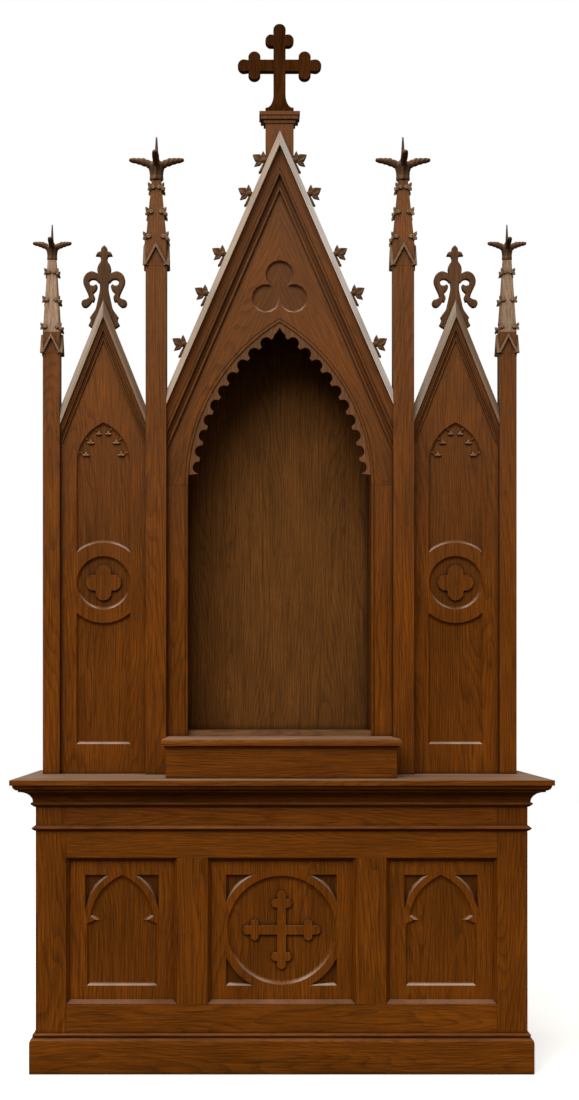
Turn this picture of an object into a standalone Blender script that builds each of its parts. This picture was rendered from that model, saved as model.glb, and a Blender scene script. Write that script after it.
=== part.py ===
"""Gothic oak altar with a niche reredos, built as joinery with one object for each piece.

Metres, +Z up, front towards -Y. The origin is the middle of the footprint at floor level.
Depths are measured backwards from the front edge of the mensa board.
"""
import math
from dataclasses import dataclass

import bmesh
import bpy
from mathutils import Matrix

# Clearances and working allowances
GAP = 0.0003
CUT_ALLOWANCE = 0.010
MERGE = 0.00001
FLAT = 0.0001
SINK = 0.002

# Mensa board and base body
MENSA_WIDTH = 1.840
MENSA_DEPTH = 0.800
MENSA_TOP = 1.005
MENSA_THICKNESS = 0.018
MENSA_OVERHANG = 0.079
BACK_OVERHANG = 0.012
FRAME_THICKNESS = 0.034
STILE_WIDTH = 0.104
MUNTIN_WIDTH = 0.105
CENTRE_OPENING = 0.506
OPENING_BOTTOM = 0.236
OPENING_TOP = 0.736
END_THICKNESS = 0.024
END_STILE = 0.110
END_SINK = 0.010

# Mouldings of the base: drops are measured down from the mensa's underside
CORNICE_OUT = 0.071
CORNICE_OVOLO = 0.018
CORNICE_FILLET = 0.005
CORNICE_COVE = 0.036
CORNICE_COVE_FOOT = 0.008
CORNICE_BEAD = 0.017
CORNICE_BEAD_OUT = 0.015
STRING_DROP = 0.140
STRING_HEIGHT = 0.018
STRING_OUT = 0.014
PLINTH_HEIGHT = 0.107
PLINTH_OUT = 0.020
PLINTH_CHAMFER = 0.014
PLINTH_GROOVE = 0.004
PLINTH_BEAD = 0.012
PLINTH_BEAD_OUT = 0.010

# Sunk panels of the base
PANEL_SETBACK = 0.002
PANEL_SINK = 0.018
PANEL_BEVEL = 0.013
CARVING_SINK = 0.008
LANCET_HALF = 0.1207
LANCET_BOTTOM = 0.2955
LANCET_CUSP = 0.522
LANCET_CUSP_IN = 0.029
LANCET_CUSP_RISE = 0.013
LANCET_HEAD_HALF = 0.1115
LANCET_SPRINGING = 0.508
LANCET_APEX = 0.676
SPANDREL_BAND = 0.021
SPANDREL_HALF = 0.126
WHEEL_RADIUS = 0.187
WHEEL_RIM = 0.0257
WHEEL_SQUARE_HALF = 0.1905
WHEEL_CROSS_REACH = 0.134
WHEEL_CROSS_ARM = 0.031
WHEEL_CROSS_LOBE = 0.016

# Predella step
PREDELLA_FRONT = 0.130
PREDELLA_INSET = 0.01375
PREDELLA_HEIGHT = 0.139
PREDELLA_BOARD = 0.020
PREDELLA_TOP_BOARD = 0.026
PREDELLA_NOSING = 0.0165
PREDELLA_ROUND = 0.015
BED_MOULD_HEIGHT = 0.010
BED_MOULD_OUT = 0.006

# Niche
NICHE_FRONT = 0.465
FACE_BOARD = 0.022
NICHE_HALF = 0.336
JAMB_WIDTH = 0.07725
NICHE_SPRINGING = 2.062
NICHE_APEX = 2.660
GROOVE_INSET = 0.010
GROOVE_WIDTH = 0.003
GROOVE_SINK = 0.002
NICHE_BACK = 0.770
NICHE_WALL = 0.018
NICHE_REVEAL = 0.008
NICHE_EAVES = 2.480
NICHE_RIDGE = 2.850
NICHE_FLOOR_RISE = 0.020
NICHE_FLOOR_BOARD = 0.040
NICHE_FLOOR_BEVEL = 0.0185
TRACERY_SETBACK = 0.004
TRACERY_THICKNESS = 0.012
TRACERY_REACH = 0.037
SCALLOP_RADIUS = 0.023
SCALLOPS_PER_SIDE = 10
TRACERY_START = 0.038

# Gable over the niche: widths are measured square to the slope
GABLE_APEX = 3.354
GABLE_SPREAD = 0.436
RAKE_WIDTH = 0.088
RAKE_OUT = 0.040
RAKE_COPING = 0.020
RAKE_FASCIA = 0.052
RAKE_GROOVE = 0.006
RAKE_GROOVE_SINK = 0.007
RAKE_REBATE = 0.034
RAKE_BEAD_FALL = 0.002
RAKE_FOOT = 0.004
TREFOIL_CENTRE = 2.775
TREFOIL_OFFSET = 0.058
TREFOIL_LOBE = 0.0525
TREFOIL_SINK = 0.008
CROCKET_HEIGHTS = (3.253, 3.131, 2.911, 2.766, 2.580)
CROCKET_STAND_OFF = 0.0237
CROCKET_THICKNESS = 0.024

# Trefoil ends of cross arms: shares of a lobe's radius, and angles
LOBE_STEP = 1.65
LOBE_OUT = 0.3
LOBE_SIDE_END = math.radians(112)
LOBE_TOP_REACH = math.radians(20)

# Pedestal and cross over the gable
PEDESTAL_WIDTH = 0.103
PEDESTAL_DEPTH = 0.056
PEDESTAL_TOP = 3.436
PEDESTAL_TIERS = ((0.149, 0.014), (0.1385, 0.014), (0.117, 0.013))
CROSS_THICKNESS = 0.028
CROSS_CENTRE = 3.613
CROSS_REACH = 0.154
CROSS_ARM = 0.0445
CROSS_LOBE = 0.0232
CROSS_FOOT_WIDTH = 0.104
CROSS_FOOT_HEIGHT = 0.022
CROSS_FOOT_LEDGE = 0.004
CROSS_FOOT_FLARE = 0.050

# Side bays
BAY_FRONT = 0.493
BAY_BOARD = 0.020
BAY_APEX = 2.747
BAY_SPREAD = 0.400
BAY_RAKE_WIDTH = 0.056
BAY_RAKE_OUT = 0.020
BAY_RAKE_COPING = 0.015
BAY_RAKE_FASCIA = 0.034
BAY_RAKE_GROOVE = 0.005
BAY_RAKE_GROOVE_SINK = 0.005
BAY_RAKE_REBATE = 0.020
BAY_PANEL_HALF = 0.0995
BAY_PANEL_BOTTOM = 1.114
BAY_PANEL_SPRINGING = 2.147
BAY_PANEL_APEX = 2.297
BAY_PANEL_SINK = 0.008
BAY_TRACERY_SINK = 0.003
BAY_TRACERY_BAND = 0.012
BAY_CUSP_REACH = 0.036
BAY_CUSPS_PER_SIDE = 3
MEDALLION_CENTRE = 1.707
MEDALLION_RIM = 0.148
MEDALLION_RADIUS = 0.0985
ROSETTE_OFFSET = 0.036
ROSETTE_LOBE = 0.030
FLEUR_TOP = 2.956
FLEUR_THICKNESS = 0.022

# Colours of the stained oak
OAK = (0.165, 0.062, 0.020, 1.0)
OAK_PALE = (0.225, 0.110, 0.050, 1.0)
OAK_DARK = (0.085, 0.030, 0.009, 1.0)
OAK_ROUGHNESS = 0.42


@dataclass(frozen=True)
class Turret:
    """Sizes of one kind of post with its pinnacle and finial."""

    name: str
    centre_x: float
    front: float
    width: float
    post_top: float
    gablet_half: float
    gablet_rise: float
    spire_start: float
    spire_top: float
    spire_neck: float
    tiers: tuple
    leaf_size: float
    cup_width: float
    cup_height: float
    leaf_half_span: float
    finial_height: float


# Inner posts, beside the niche
INNER_POST_WIDTH = 0.0755
INNER_POST_FRONT = 0.430
INNER_POST_TOP = 2.857
INNER_GABLET_PROUD = 0.00575
INNER_GABLET_RISE = 0.080
INNER_SPIRE_START = 2.945
INNER_SPIRE_TOP = 3.175
INNER_SPIRE_NECK = 0.034
INNER_LEAF_TIERS = (2.962, 3.054, 3.146)
INNER_LEAF_SIZE = 0.018
INNER_CUP_WIDTH = 0.062
INNER_CUP_HEIGHT = 0.056
INNER_LEAF_HALF_SPAN = 0.1012
INNER_FINIAL_HEIGHT = 0.162

# Outer posts, at the ends of the reredos
OUTER_POST_INSET = 0.052
OUTER_POST_WIDTH = 0.062
OUTER_POST_FRONT = 0.470
OUTER_POST_TOP = 2.547
OUTER_GABLET_PROUD = 0.005
OUTER_GABLET_RISE = 0.070
OUTER_SPIRE_START = 2.625
OUTER_SPIRE_TOP = 2.893
OUTER_SPIRE_NECK = 0.030
OUTER_LEAF_TIERS = (2.643, 2.743, 2.846)
OUTER_LEAF_SIZE = 0.0153
OUTER_CUP_WIDTH = 0.042
OUTER_CUP_HEIGHT = 0.048
OUTER_LEAF_HALF_SPAN = 0.0720
OUTER_FINIAL_HEIGHT = 0.134

INNER = Turret(
    "inner", NICHE_HALF + JAMB_WIDTH + INNER_POST_WIDTH / 2, INNER_POST_FRONT, INNER_POST_WIDTH,
    INNER_POST_TOP, INNER_POST_WIDTH / 2 + INNER_GABLET_PROUD, INNER_GABLET_RISE, INNER_SPIRE_START,
    INNER_SPIRE_TOP, INNER_SPIRE_NECK, INNER_LEAF_TIERS, INNER_LEAF_SIZE, INNER_CUP_WIDTH,
    INNER_CUP_HEIGHT, INNER_LEAF_HALF_SPAN, INNER_FINIAL_HEIGHT)
OUTER = Turret(
    "outer", MENSA_WIDTH / 2 - OUTER_POST_INSET - OUTER_POST_WIDTH / 2, OUTER_POST_FRONT,
    OUTER_POST_WIDTH, OUTER_POST_TOP, OUTER_POST_WIDTH / 2 + OUTER_GABLET_PROUD, OUTER_GABLET_RISE,
    OUTER_SPIRE_START, OUTER_SPIRE_TOP, OUTER_SPIRE_NECK, OUTER_LEAF_TIERS, OUTER_LEAF_SIZE,
    OUTER_CUP_WIDTH, OUTER_CUP_HEIGHT, OUTER_LEAF_HALF_SPAN, OUTER_FINIAL_HEIGHT)

# Small gables at the top of a post
GABLET_BAND = 0.012
GABLET_OUT = 0.006

# Carved leaf on the gable's slope: across and up from the middle of the leaf
CROCKET_LEAF = (
    (-0.0280, -0.0037), (-0.0140, 0.0040), (-0.0094, 0.0327), (0.0010, 0.0168),
    (0.0290, 0.0187), (0.0168, -0.0028), (0.0234, -0.0262), (-0.0028, -0.0122),
    (0.0065, -0.0355), (0.0094, -0.0486), (0.0028, -0.0608), (-0.0200, -0.0560),
)
# Leaf at a corner of a spire: outwards from the corner and up, as shares of its size
SPIRE_LEAF = ((-0.67, -0.67), (0.89, -0.83), (0.50, 0.00), (0.83, 1.00), (0.06, 0.50), (-0.67, 0.56))
SPIRE_LEAF_THICKNESS = 0.9
# Leaf arm of a finial: reach and height as shares of the finial's own, with the arm's half height
FINIAL_ARM = (
    (0.12, 0.30, 0.055), (0.28, 0.42, 0.075), (0.45, 0.485, 0.072), (0.64, 0.515, 0.062),
    (0.84, 0.530, 0.045), (1.00, 0.545, 0.012),
)
# Stem of the fleur on the right of its axis: across, and down from its tip
FLEUR_STEM = (
    (0.0112, 0.0123), (0.0123, 0.0224), (0.0246, 0.0269), (0.0313, 0.0403), (0.0157, 0.0414),
    (0.0123, 0.0504), (0.0123, 0.0571), (0.0224, 0.0750), (0.0257, 0.0884), (0.0246, 0.1008),
    (0.0179, 0.1332), (0.0157, 0.1579), (0.0190, 0.1802), (0.0269, 0.2161), (0.0358, 0.2429),
    (0.0537, 0.2676), (0.0504, 0.2743), (0.0582, 0.2967), (0.0470, 0.3056), (0.0358, 0.3101),
)
# Scroll arm of the fleur on the right of its axis, from the stem over and back
FLEUR_ARM = (
    (0.0100, 0.1080), (0.0257, 0.1030), (0.0470, 0.0963), (0.0649, 0.1041), (0.0772, 0.1265),
    (0.0739, 0.1511), (0.0605, 0.1802), (0.0571, 0.1937), (0.0672, 0.1993), (0.0784, 0.2026),
    (0.0846, 0.2161), (0.0795, 0.2273), (0.0683, 0.2313), (0.0549, 0.2228), (0.0448, 0.2093),
    (0.0381, 0.2116), (0.0336, 0.1948), (0.0399, 0.1791), (0.0273, 0.1646), (0.0253, 0.1500),
    (0.0296, 0.1440), (0.0403, 0.1493), (0.0515, 0.1462), (0.0549, 0.1343), (0.0448, 0.1276),
    (0.0302, 0.1299), (0.0190, 0.1400), (0.0100, 0.1400),
)

# Sizes that follow from the ones above
BODY_HALF = MENSA_WIDTH / 2 - MENSA_OVERHANG
BODY_TOP = MENSA_TOP - MENSA_THICKNESS
BODY_BACK = MENSA_DEPTH - BACK_OVERHANG
OPENING_MIDDLE = (OPENING_BOTTOM + OPENING_TOP) / 2
STILE_INNER = BODY_HALF - STILE_WIDTH
MUNTIN_INNER = CENTRE_OPENING / 2
MUNTIN_OUTER = MUNTIN_INNER + MUNTIN_WIDTH
PREDELLA_TOP = MENSA_TOP + PREDELLA_HEIGHT
NICHE_BOARD_BACK = NICHE_FRONT + FACE_BOARD
WALL_INNER = NICHE_HALF + NICHE_REVEAL
WALL_OUTER = WALL_INNER + NICHE_WALL
POST_INNER_FACE = NICHE_HALF + JAMB_WIDTH
PREDELLA_HALF = POST_INNER_FACE - PREDELLA_INSET
BAY_INNER = INNER.centre_x + INNER.width / 2
BAY_OUTER = OUTER.centre_x - OUTER.width / 2
BAY_CENTRE = (BAY_INNER + BAY_OUTER) / 2
BAY_BACK = BAY_FRONT + BAY_BOARD


def clear_scene():
    """Empty the scene and make the collections for pieces and cutters."""
    for old in list(bpy.data.objects):
        bpy.data.objects.remove(old)
    collections = []
    for name in ("church_altar", "cutters"):
        collection = bpy.data.collections.new(name)
        bpy.context.scene.collection.children.link(collection)
        collections.append(collection)
    return collections


ALTAR, CUTTERS = clear_scene()


def y_at(depth):
    """World Y of a depth behind the mensa's front edge."""
    return depth - MENSA_DEPTH / 2


def oak(name, colour):
    """Stained and varnished oak in a given shade."""
    material = bpy.data.materials.new("oak_" + name)
    material.use_nodes = True
    shader = material.node_tree.nodes["Principled BSDF"]
    shader.inputs["Base Color"].default_value = colour
    shader.inputs["Roughness"].default_value = OAK_ROUGHNESS
    shader.inputs["Metallic"].default_value = 0.0
    return material


def add_piece(name, mesh, colour=OAK):
    """Link a mesh to the altar as one named piece."""
    mesh.name = name
    mesh.materials.clear()
    mesh.materials.append(oak(name, colour))
    piece = bpy.data.objects.new(name, mesh)
    ALTAR.objects.link(piece)
    return piece


def add_cutter(mesh):
    """Link a mesh as a hidden shape for Booleans."""
    cutter = bpy.data.objects.new("shape", mesh)
    cutter.hide_render = True
    cutter.display_type = "WIRE"
    CUTTERS.objects.link(cutter)
    return cutter


def combine(piece, mesh, operation):
    """Add a Boolean with a hidden shape to a piece."""
    boolean = piece.modifiers.new(operation.lower(), "BOOLEAN")
    boolean.operation = operation
    boolean.solver = "EXACT"
    boolean.object = add_cutter(mesh)


def evaluated_mesh(piece):
    """The mesh of an object with its modifiers applied."""
    bpy.context.view_layer.update()
    graph = bpy.context.evaluated_depsgraph_get()
    return bpy.data.meshes.new_from_object(piece.evaluated_get(graph))


def mesh_from(bm):
    """Finish a bmesh as a mesh with its faces pointing out."""
    bmesh.ops.recalc_face_normals(bm, faces=bm.faces)
    mesh = bpy.data.meshes.new("mesh")
    bm.to_mesh(mesh)
    bm.free()
    return mesh


def box_mesh(x_span, depth_span, z_span):
    """A box between two values of x, depth and height."""
    bm = bmesh.new()
    bmesh.ops.create_cube(bm, size=1.0)
    spans = (x_span, (y_at(depth_span[0]), y_at(depth_span[1])), z_span)
    for vert in bm.verts:
        for axis, (low, high) in enumerate(spans):
            vert.co[axis] = high if vert.co[axis] > 0 else low
    return mesh_from(bm)


def board(name, x_span, depth_span, z_span, colour=OAK):
    """A square-edged board as a piece."""
    return add_piece(name, box_mesh(x_span, depth_span, z_span), colour)


def plate_mesh(outlines, thickness):
    """Fill flat outlines and thicken them about their plane; inner outlines are holes."""
    curve = bpy.data.curves.new("outline", "CURVE")
    curve.dimensions = "2D"
    curve.fill_mode = "BOTH"
    curve.extrude = thickness / 2
    for outline in outlines:
        spline = curve.splines.new("POLY")
        spline.points.add(len(outline) - 1)
        for point, (across, up) in zip(spline.points, outline):
            point.co = (across, up, 0.0, 1.0)
        spline.use_cyclic_u = True
    holder = add_cutter(curve)
    mesh = evaluated_mesh(holder)
    bpy.data.objects.remove(holder)
    bm = bmesh.new()
    bm.from_mesh(mesh)
    bmesh.ops.remove_doubles(bm, verts=bm.verts, dist=MERGE)
    caps = [edge for edge in bm.edges if len(edge.link_faces) == 2 and edge.calc_face_angle() < FLAT]
    bmesh.ops.dissolve_edges(bm, edges=caps, use_verts=False)
    return mesh_from(bm)


def upright_mesh(outlines, depth_span):
    """A plate of (x, z) outlines standing between two depths."""
    mesh = plate_mesh(outlines, depth_span[1] - depth_span[0])
    middle = y_at((depth_span[0] + depth_span[1]) / 2)
    mesh.transform(Matrix.Translation((0, middle, 0)) @ Matrix.Rotation(math.pi / 2, 4, "X"))
    return mesh


def carve(piece, outlines, front, sink):
    """Sink outlines into a piece from its front face."""
    combine(piece, upright_mesh(outlines, (front - CUT_ALLOWANCE, front + sink)), "DIFFERENCE")


def merged_mesh(meshes):
    """Put several closed meshes that don't meet into one."""
    bm = bmesh.new()
    for mesh in meshes:
        bm.from_mesh(mesh)
    return mesh_from(bm)


def run_mesh(profile, start, end, outward, mitres):
    """Run a profile of (projection, height) from start to end on a wall face.

    Each end grows by its mitre for every metre of projection: 1 at an outer corner, 0 when square.
    """
    length = math.dist(start, end)
    along = [(finish - begin) / length for begin, finish in zip(start, end)]
    bm = bmesh.new()
    rings = []
    for place, grow in ((start, -mitres[0]), (end, mitres[1])):
        step = [out + grow * way for out, way in zip(outward, along)]
        rings.append([bm.verts.new((place[0] + projection * step[0], place[1] + projection * step[1], height))
                      for projection, height in profile])
    first, last = rings
    bm.faces.new(first)
    bm.faces.new(reversed(last))
    for index in range(len(profile)):
        before = index - 1
        bm.faces.new((first[before], first[index], last[index], last[before]))
    return mesh_from(bm)


def arc(centre, radius, start, end, steps):
    """Points on an arc, with both ends, angles in radians from +X."""
    points = []
    for step in range(steps + 1):
        angle = start + (end - start) * step / steps
        points.append((centre[0] + radius * math.cos(angle), centre[1] + radius * math.sin(angle)))
    return points


def circle(centre, radius, steps):
    """Points round a full circle."""
    return arc(centre, radius, 0.0, 2 * math.pi * (steps - 1) / steps, steps - 1)


def pointed_arch(half_width, springing, apex):
    """Radius of a two-centred arch and how far its centres lie beyond the middle line."""
    rise = apex - springing
    beyond = (rise * rise - half_width * half_width) / (2 * half_width)
    return half_width + beyond, beyond


def arch_points(half_width, springing, apex, steps):
    """A pointed arch from its right springing over its apex to its left springing."""
    radius, beyond = pointed_arch(half_width, springing, apex)
    top = math.acos(beyond / radius)
    right = arc((-beyond, springing), radius, 0.0, top, steps)
    return right + mirror_points(right[:-1])


def mirror_points(points):
    """The same points across the middle line, in the other order."""
    return [(-across, up) for across, up in reversed(points)]


def shift_points(points, across, up=0.0):
    """Points moved sideways and up."""
    return [(x + across, z + up) for x, z in points]


def foil_outline(lobes, offset, radius, steps):
    """A ring of overlapping round lobes with the first one at the top."""
    half_turn = math.pi / lobes
    crossing = offset * math.cos(half_turn) + math.sqrt(radius ** 2 - (offset * math.sin(half_turn)) ** 2)
    reach = math.atan2(crossing * math.sin(half_turn), crossing * math.cos(half_turn) - offset)
    outline = []
    for lobe in range(lobes):
        direction = math.pi / 2 + 2 * half_turn * lobe
        centre = (offset * math.cos(direction), offset * math.sin(direction))
        outline += arc(centre, radius, direction - reach, direction + reach, steps)[:-1]
    return outline


def lobed_arm(reach, arm, lobe, steps):
    """Half-trefoil end of a cross arm that points up, from its right edge to its left edge."""
    tip = reach - lobe
    side_up = tip - LOBE_STEP * lobe
    side_out = arm / 2 + LOBE_OUT * lobe
    right = arc((side_out, side_up), lobe, -math.acos(-LOBE_OUT), LOBE_SIDE_END, steps)
    top = arc((0.0, tip), lobe, -LOBE_TOP_REACH, math.pi + LOBE_TOP_REACH, steps + 2)
    return right + top + mirror_points(right)


def turn_points(points, angle):
    """Points turned about the origin."""
    cosine, sine = math.cos(angle), math.sin(angle)
    return [(x * cosine - z * sine, x * sine + z * cosine) for x, z in points]


def cross_outline(reach, arm, lobe, steps, lobed_arms=4):
    """The right, top, left and lower arms of a cross, as many as asked, each with a trefoil end."""
    outline = []
    for index in range(lobed_arms):
        points = [*lobed_arm(reach, arm, lobe, steps), (-arm / 2, arm / 2)]
        outline += turn_points(points, math.pi / 2 * (index - 1))
    return outline


def turned_mesh(profile, segments, phase=0.0):
    """Turn a (radius, height) profile about Z; it starts and ends on the axis."""
    bm = bmesh.new()
    verts = [bm.verts.new((radius * math.cos(phase), radius * math.sin(phase), height))
             for radius, height in profile]
    edges = [bm.edges.new(pair) for pair in zip(verts, verts[1:])]
    bmesh.ops.spin(bm, geom=verts + edges, cent=(0, 0, 0), axis=(0, 0, 1), dvec=(0, 0, 0),
                   angle=2 * math.pi, steps=segments, use_merge=True, use_duplicate=False)
    bmesh.ops.remove_doubles(bm, verts=bm.verts, dist=MERGE)
    return mesh_from(bm)


def square_mesh(profile):
    """A stepped square shape from (half width, height) pairs, closed at both ends."""
    corner = [(half * math.sqrt(2), height) for half, height in profile]
    closed = [(0.0, corner[0][1]), *corner, (0.0, corner[-1][1])]
    return turned_mesh(closed, 4, math.pi / 4)


def placed(mesh, x, depth):
    """Move a mesh to a place on the plan."""
    mesh.transform(Matrix.Translation((x, y_at(depth), 0)))
    return mesh


def add_mirrored(name, piece, colour=OAK):
    """A copy of a finished piece across the middle plane."""
    mesh = evaluated_mesh(piece)
    mesh.transform(Matrix.Scale(-1, 4, (1, 0, 0)))
    mesh.flip_normals()
    return add_piece(name, mesh, colour)


def three_sided(base_name, profile, half_width, front, back, colour=OAK):
    """Mitred mouldings round a body's front and two ends, cut square at the back."""
    front_y, back_y = y_at(front), y_at(back)
    lift = GAP
    edge = half_width + lift
    face = front_y - lift
    runs = {
        "front": ((-edge, face), (edge, face), (0, -1), (1, 1), GAP),
        "left": ((-edge, back_y), (-edge, face), (-1, 0), (0, 1), 0),
        "right": ((edge, face), (edge, back_y), (1, 0), (1, 0), 0),
    }
    for side, (start, end, outward, mitres, trim) in runs.items():
        if trim:
            start, end = (start[0] + trim, start[1]), (end[0] - trim, end[1])
        add_piece(f"{base_name}_{side}", run_mesh(profile, start, end, outward, mitres), colour)


def cornice_profile():
    """Ovolo, fillet, cove and bead under the mensa, as (projection, height)."""
    top = BODY_TOP - GAP
    ovolo_low = BODY_TOP - CORNICE_OVOLO
    ovolo_in = CORNICE_OUT - CORNICE_OVOLO
    cove_top = ovolo_low - CORNICE_FILLET
    cove_low = cove_top - CORNICE_COVE
    bead_low = cove_low - CORNICE_BEAD
    ovolo = arc((ovolo_in, BODY_TOP), CORNICE_OVOLO, 0.0, -math.pi / 2, 4)[1:]
    reach = ovolo_in - CORNICE_COVE_FOOT
    cove = [(ovolo_in - reach * math.sin(turn), cove_low + CORNICE_COVE * math.cos(turn))
            for turn in (math.pi / 2 * step / 5 for step in range(6))]
    bead_middle = (cove_low + bead_low) / 2
    bead = [(CORNICE_BEAD_OUT, cove_low - CORNICE_BEAD * 0.2), (CORNICE_BEAD_OUT, bead_middle)]
    return [(0.0, top), (CORNICE_OUT, top), *ovolo, *cove, *bead, (0.004, bead_low), (0.0, bead_low)]


def string_profile():
    """Pointed string moulding under the frieze."""
    top = BODY_TOP - STRING_DROP
    low = top - STRING_HEIGHT
    return [(0.0, top), (0.003, top), (STRING_OUT, top - STRING_HEIGHT * 0.55),
            (STRING_OUT * 0.4, low + 0.002), (STRING_OUT * 0.3, low), (0.0, low)]


def plinth_profile():
    """Plinth board with its chamfer and bead in one section."""
    chamfer_top = PLINTH_HEIGHT + PLINTH_CHAMFER
    bead_low = chamfer_top + PLINTH_GROOVE
    groove = PLINTH_BEAD_OUT * 0.45
    bead = [(PLINTH_BEAD_OUT * share, bead_low + PLINTH_BEAD * up)
            for share, up in ((0.75, 0.0), (1.0, 0.3), (1.0, 0.65), (0.6, 1.0))]
    return [(0.0, 0.0), (PLINTH_OUT, 0.0), (PLINTH_OUT, PLINTH_HEIGHT),
            (PLINTH_OUT * 0.88, PLINTH_HEIGHT + PLINTH_CHAMFER * 0.55), (PLINTH_BEAD_OUT, chamfer_top),
            (groove, chamfer_top), (groove, bead_low), *bead, (0.0, bead_low + PLINTH_BEAD)]


def build_base_frame():
    """Mensa, face frame, ends, back and mouldings of the base."""
    face = MENSA_OVERHANG
    face_back = face + FRAME_THICKNESS
    board("mensa_top", (-MENSA_WIDTH / 2, MENSA_WIDTH / 2), (0.0, MENSA_DEPTH), (BODY_TOP, MENSA_TOP))
    top = BODY_TOP - GAP
    for side, name in ((-1, "left"), (1, "right")):
        board(f"stile_{name}", sorted((side * BODY_HALF, side * STILE_INNER)), (face, face_back), (0.0, top))
        board(f"muntin_{name}", sorted((side * MUNTIN_INNER, side * MUNTIN_OUTER)), (face, face_back),
              (OPENING_BOTTOM, OPENING_TOP))
        build_end(side, name, face_back + GAP)
    rail_half = STILE_INNER - GAP
    board("top_rail", (-rail_half, rail_half), (face, face_back), (OPENING_TOP + GAP, top))
    board("bottom_rail", (-rail_half, rail_half), (face, face_back), (0.0, OPENING_BOTTOM - GAP))
    back_half = BODY_HALF - END_THICKNESS - GAP
    depths = (BODY_BACK - END_THICKNESS, BODY_BACK)
    board("back_board", (-back_half, back_half), depths, (0.0, top), OAK_DARK)
    three_sided("cornice", cornice_profile(), BODY_HALF, face, BODY_BACK)
    three_sided("string", string_profile(), BODY_HALF, face, BODY_BACK)
    three_sided("plinth", plinth_profile(), BODY_HALF, face, BODY_BACK)


def build_end(side, name, front):
    """One end of the base: a board with a plain sunk field."""
    top = BODY_TOP - GAP
    outer, inner = side * BODY_HALF, side * (BODY_HALF - END_THICKNESS)
    end = board(f"end_{name}", sorted((outer, inner)), (front, BODY_BACK), (0.0, top))
    sunk = sorted((side * (BODY_HALF + CUT_ALLOWANCE), side * (BODY_HALF - END_SINK)))
    field = box_mesh(sunk, (front + END_STILE, BODY_BACK - END_STILE), (OPENING_BOTTOM, OPENING_TOP))
    combine(end, field, "DIFFERENCE")


def bevelled_field(x_span, z_span, front):
    """Cutter for a sunk field whose edge slopes all round."""
    depth_span = (front - CUT_ALLOWANCE, front + PANEL_SINK)
    mesh = box_mesh(x_span, depth_span, z_span)
    middle_x = sum(x_span) / 2
    middle_z = sum(z_span) / 2
    spread = PANEL_BEVEL * CUT_ALLOWANCE / PANEL_SINK
    for vert in mesh.vertices:
        grow = spread if vert.co.y < y_at(front) else -PANEL_BEVEL
        vert.co.x += grow if vert.co.x > middle_x else -grow
        vert.co.z += grow if vert.co.z > middle_z else -grow
    return mesh


def build_panels():
    """Three carved panels in the openings of the face frame."""
    front = MENSA_OVERHANG + PANEL_SETBACK
    field = front + PANEL_SINK
    back = MENSA_OVERHANG + FRAME_THICKNESS
    z_span = (OPENING_BOTTOM + GAP, OPENING_TOP - GAP)
    side_span = (MUNTIN_OUTER + GAP, STILE_INNER - GAP)
    side_middle = sum(side_span) / 2
    panel = board("panel_right", side_span, (front, back), z_span)
    combine(panel, bevelled_field(side_span, z_span, front), "DIFFERENCE")
    carve(panel, [shift_points(lancet_outline(), side_middle)], field, CARVING_SINK)
    for sign in (-1, 1):
        carve(panel, [shift_points(lancet_spandrel(sign), side_middle)], field, CARVING_SINK)
    add_mirrored("panel_left", panel)

    centre_span = (-MUNTIN_INNER + GAP, MUNTIN_INNER - GAP)
    panel = board("panel_centre", centre_span, (front, back), z_span)
    combine(panel, bevelled_field(centre_span, z_span, front), "DIFFERENCE")
    carve(panel, [circle((0.0, OPENING_MIDDLE), WHEEL_RADIUS, 40)], field, CARVING_SINK)
    for turn in range(4):
        carve(panel, [shift_points(wheel_spandrel(turn), 0.0, OPENING_MIDDLE)], field, CARVING_SINK)
    cross = cross_outline(WHEEL_CROSS_REACH, WHEEL_CROSS_ARM, WHEEL_CROSS_LOBE, 4)
    raised = upright_mesh([shift_points(cross, 0.0, OPENING_MIDDLE)], (field, field + CARVING_SINK + SINK))
    combine(panel, raised, "UNION")


def lancet_outline():
    """Pointed panel with a cusp on each side, where its head springs."""
    head = arch_points(LANCET_HEAD_HALF, LANCET_SPRINGING, LANCET_APEX, 8)
    head = [point for point in head if point[1] > LANCET_CUSP + LANCET_CUSP_RISE / 2]
    cusp = LANCET_HALF - LANCET_CUSP_IN
    shoulder = LANCET_CUSP - LANCET_CUSP_RISE
    right = [(LANCET_HALF, LANCET_BOTTOM), (LANCET_HALF, shoulder), (cusp, LANCET_CUSP)]
    return right + head + mirror_points(right)


def lancet_spandrel(sign):
    """Three-cornered sinking beside the head of a lancet."""
    springing = LANCET_SPRINGING
    radius, beyond = pointed_arch(LANCET_HEAD_HALF, springing, LANCET_APEX)
    outer = radius + SPANDREL_BAND
    low = math.acos((SPANDREL_HALF + beyond) / outer)
    high = math.asin((LANCET_APEX - springing) / outer)
    points = arc((-beyond, springing), outer, high, low, 5) + [(SPANDREL_HALF, LANCET_APEX)]
    return points if sign > 0 else mirror_points(points)


def wheel_spandrel(turn):
    """Corner sinking between the wheel's rim and its square."""
    outer = WHEEL_RADIUS + WHEEL_RIM
    low = math.acos(WHEEL_SQUARE_HALF / outer)
    points = arc((0.0, 0.0), outer, low, math.pi / 2 - low, 5)
    points.append((WHEEL_SQUARE_HALF, WHEEL_SQUARE_HALF))
    return turn_points(points, turn * math.pi / 2)


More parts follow.
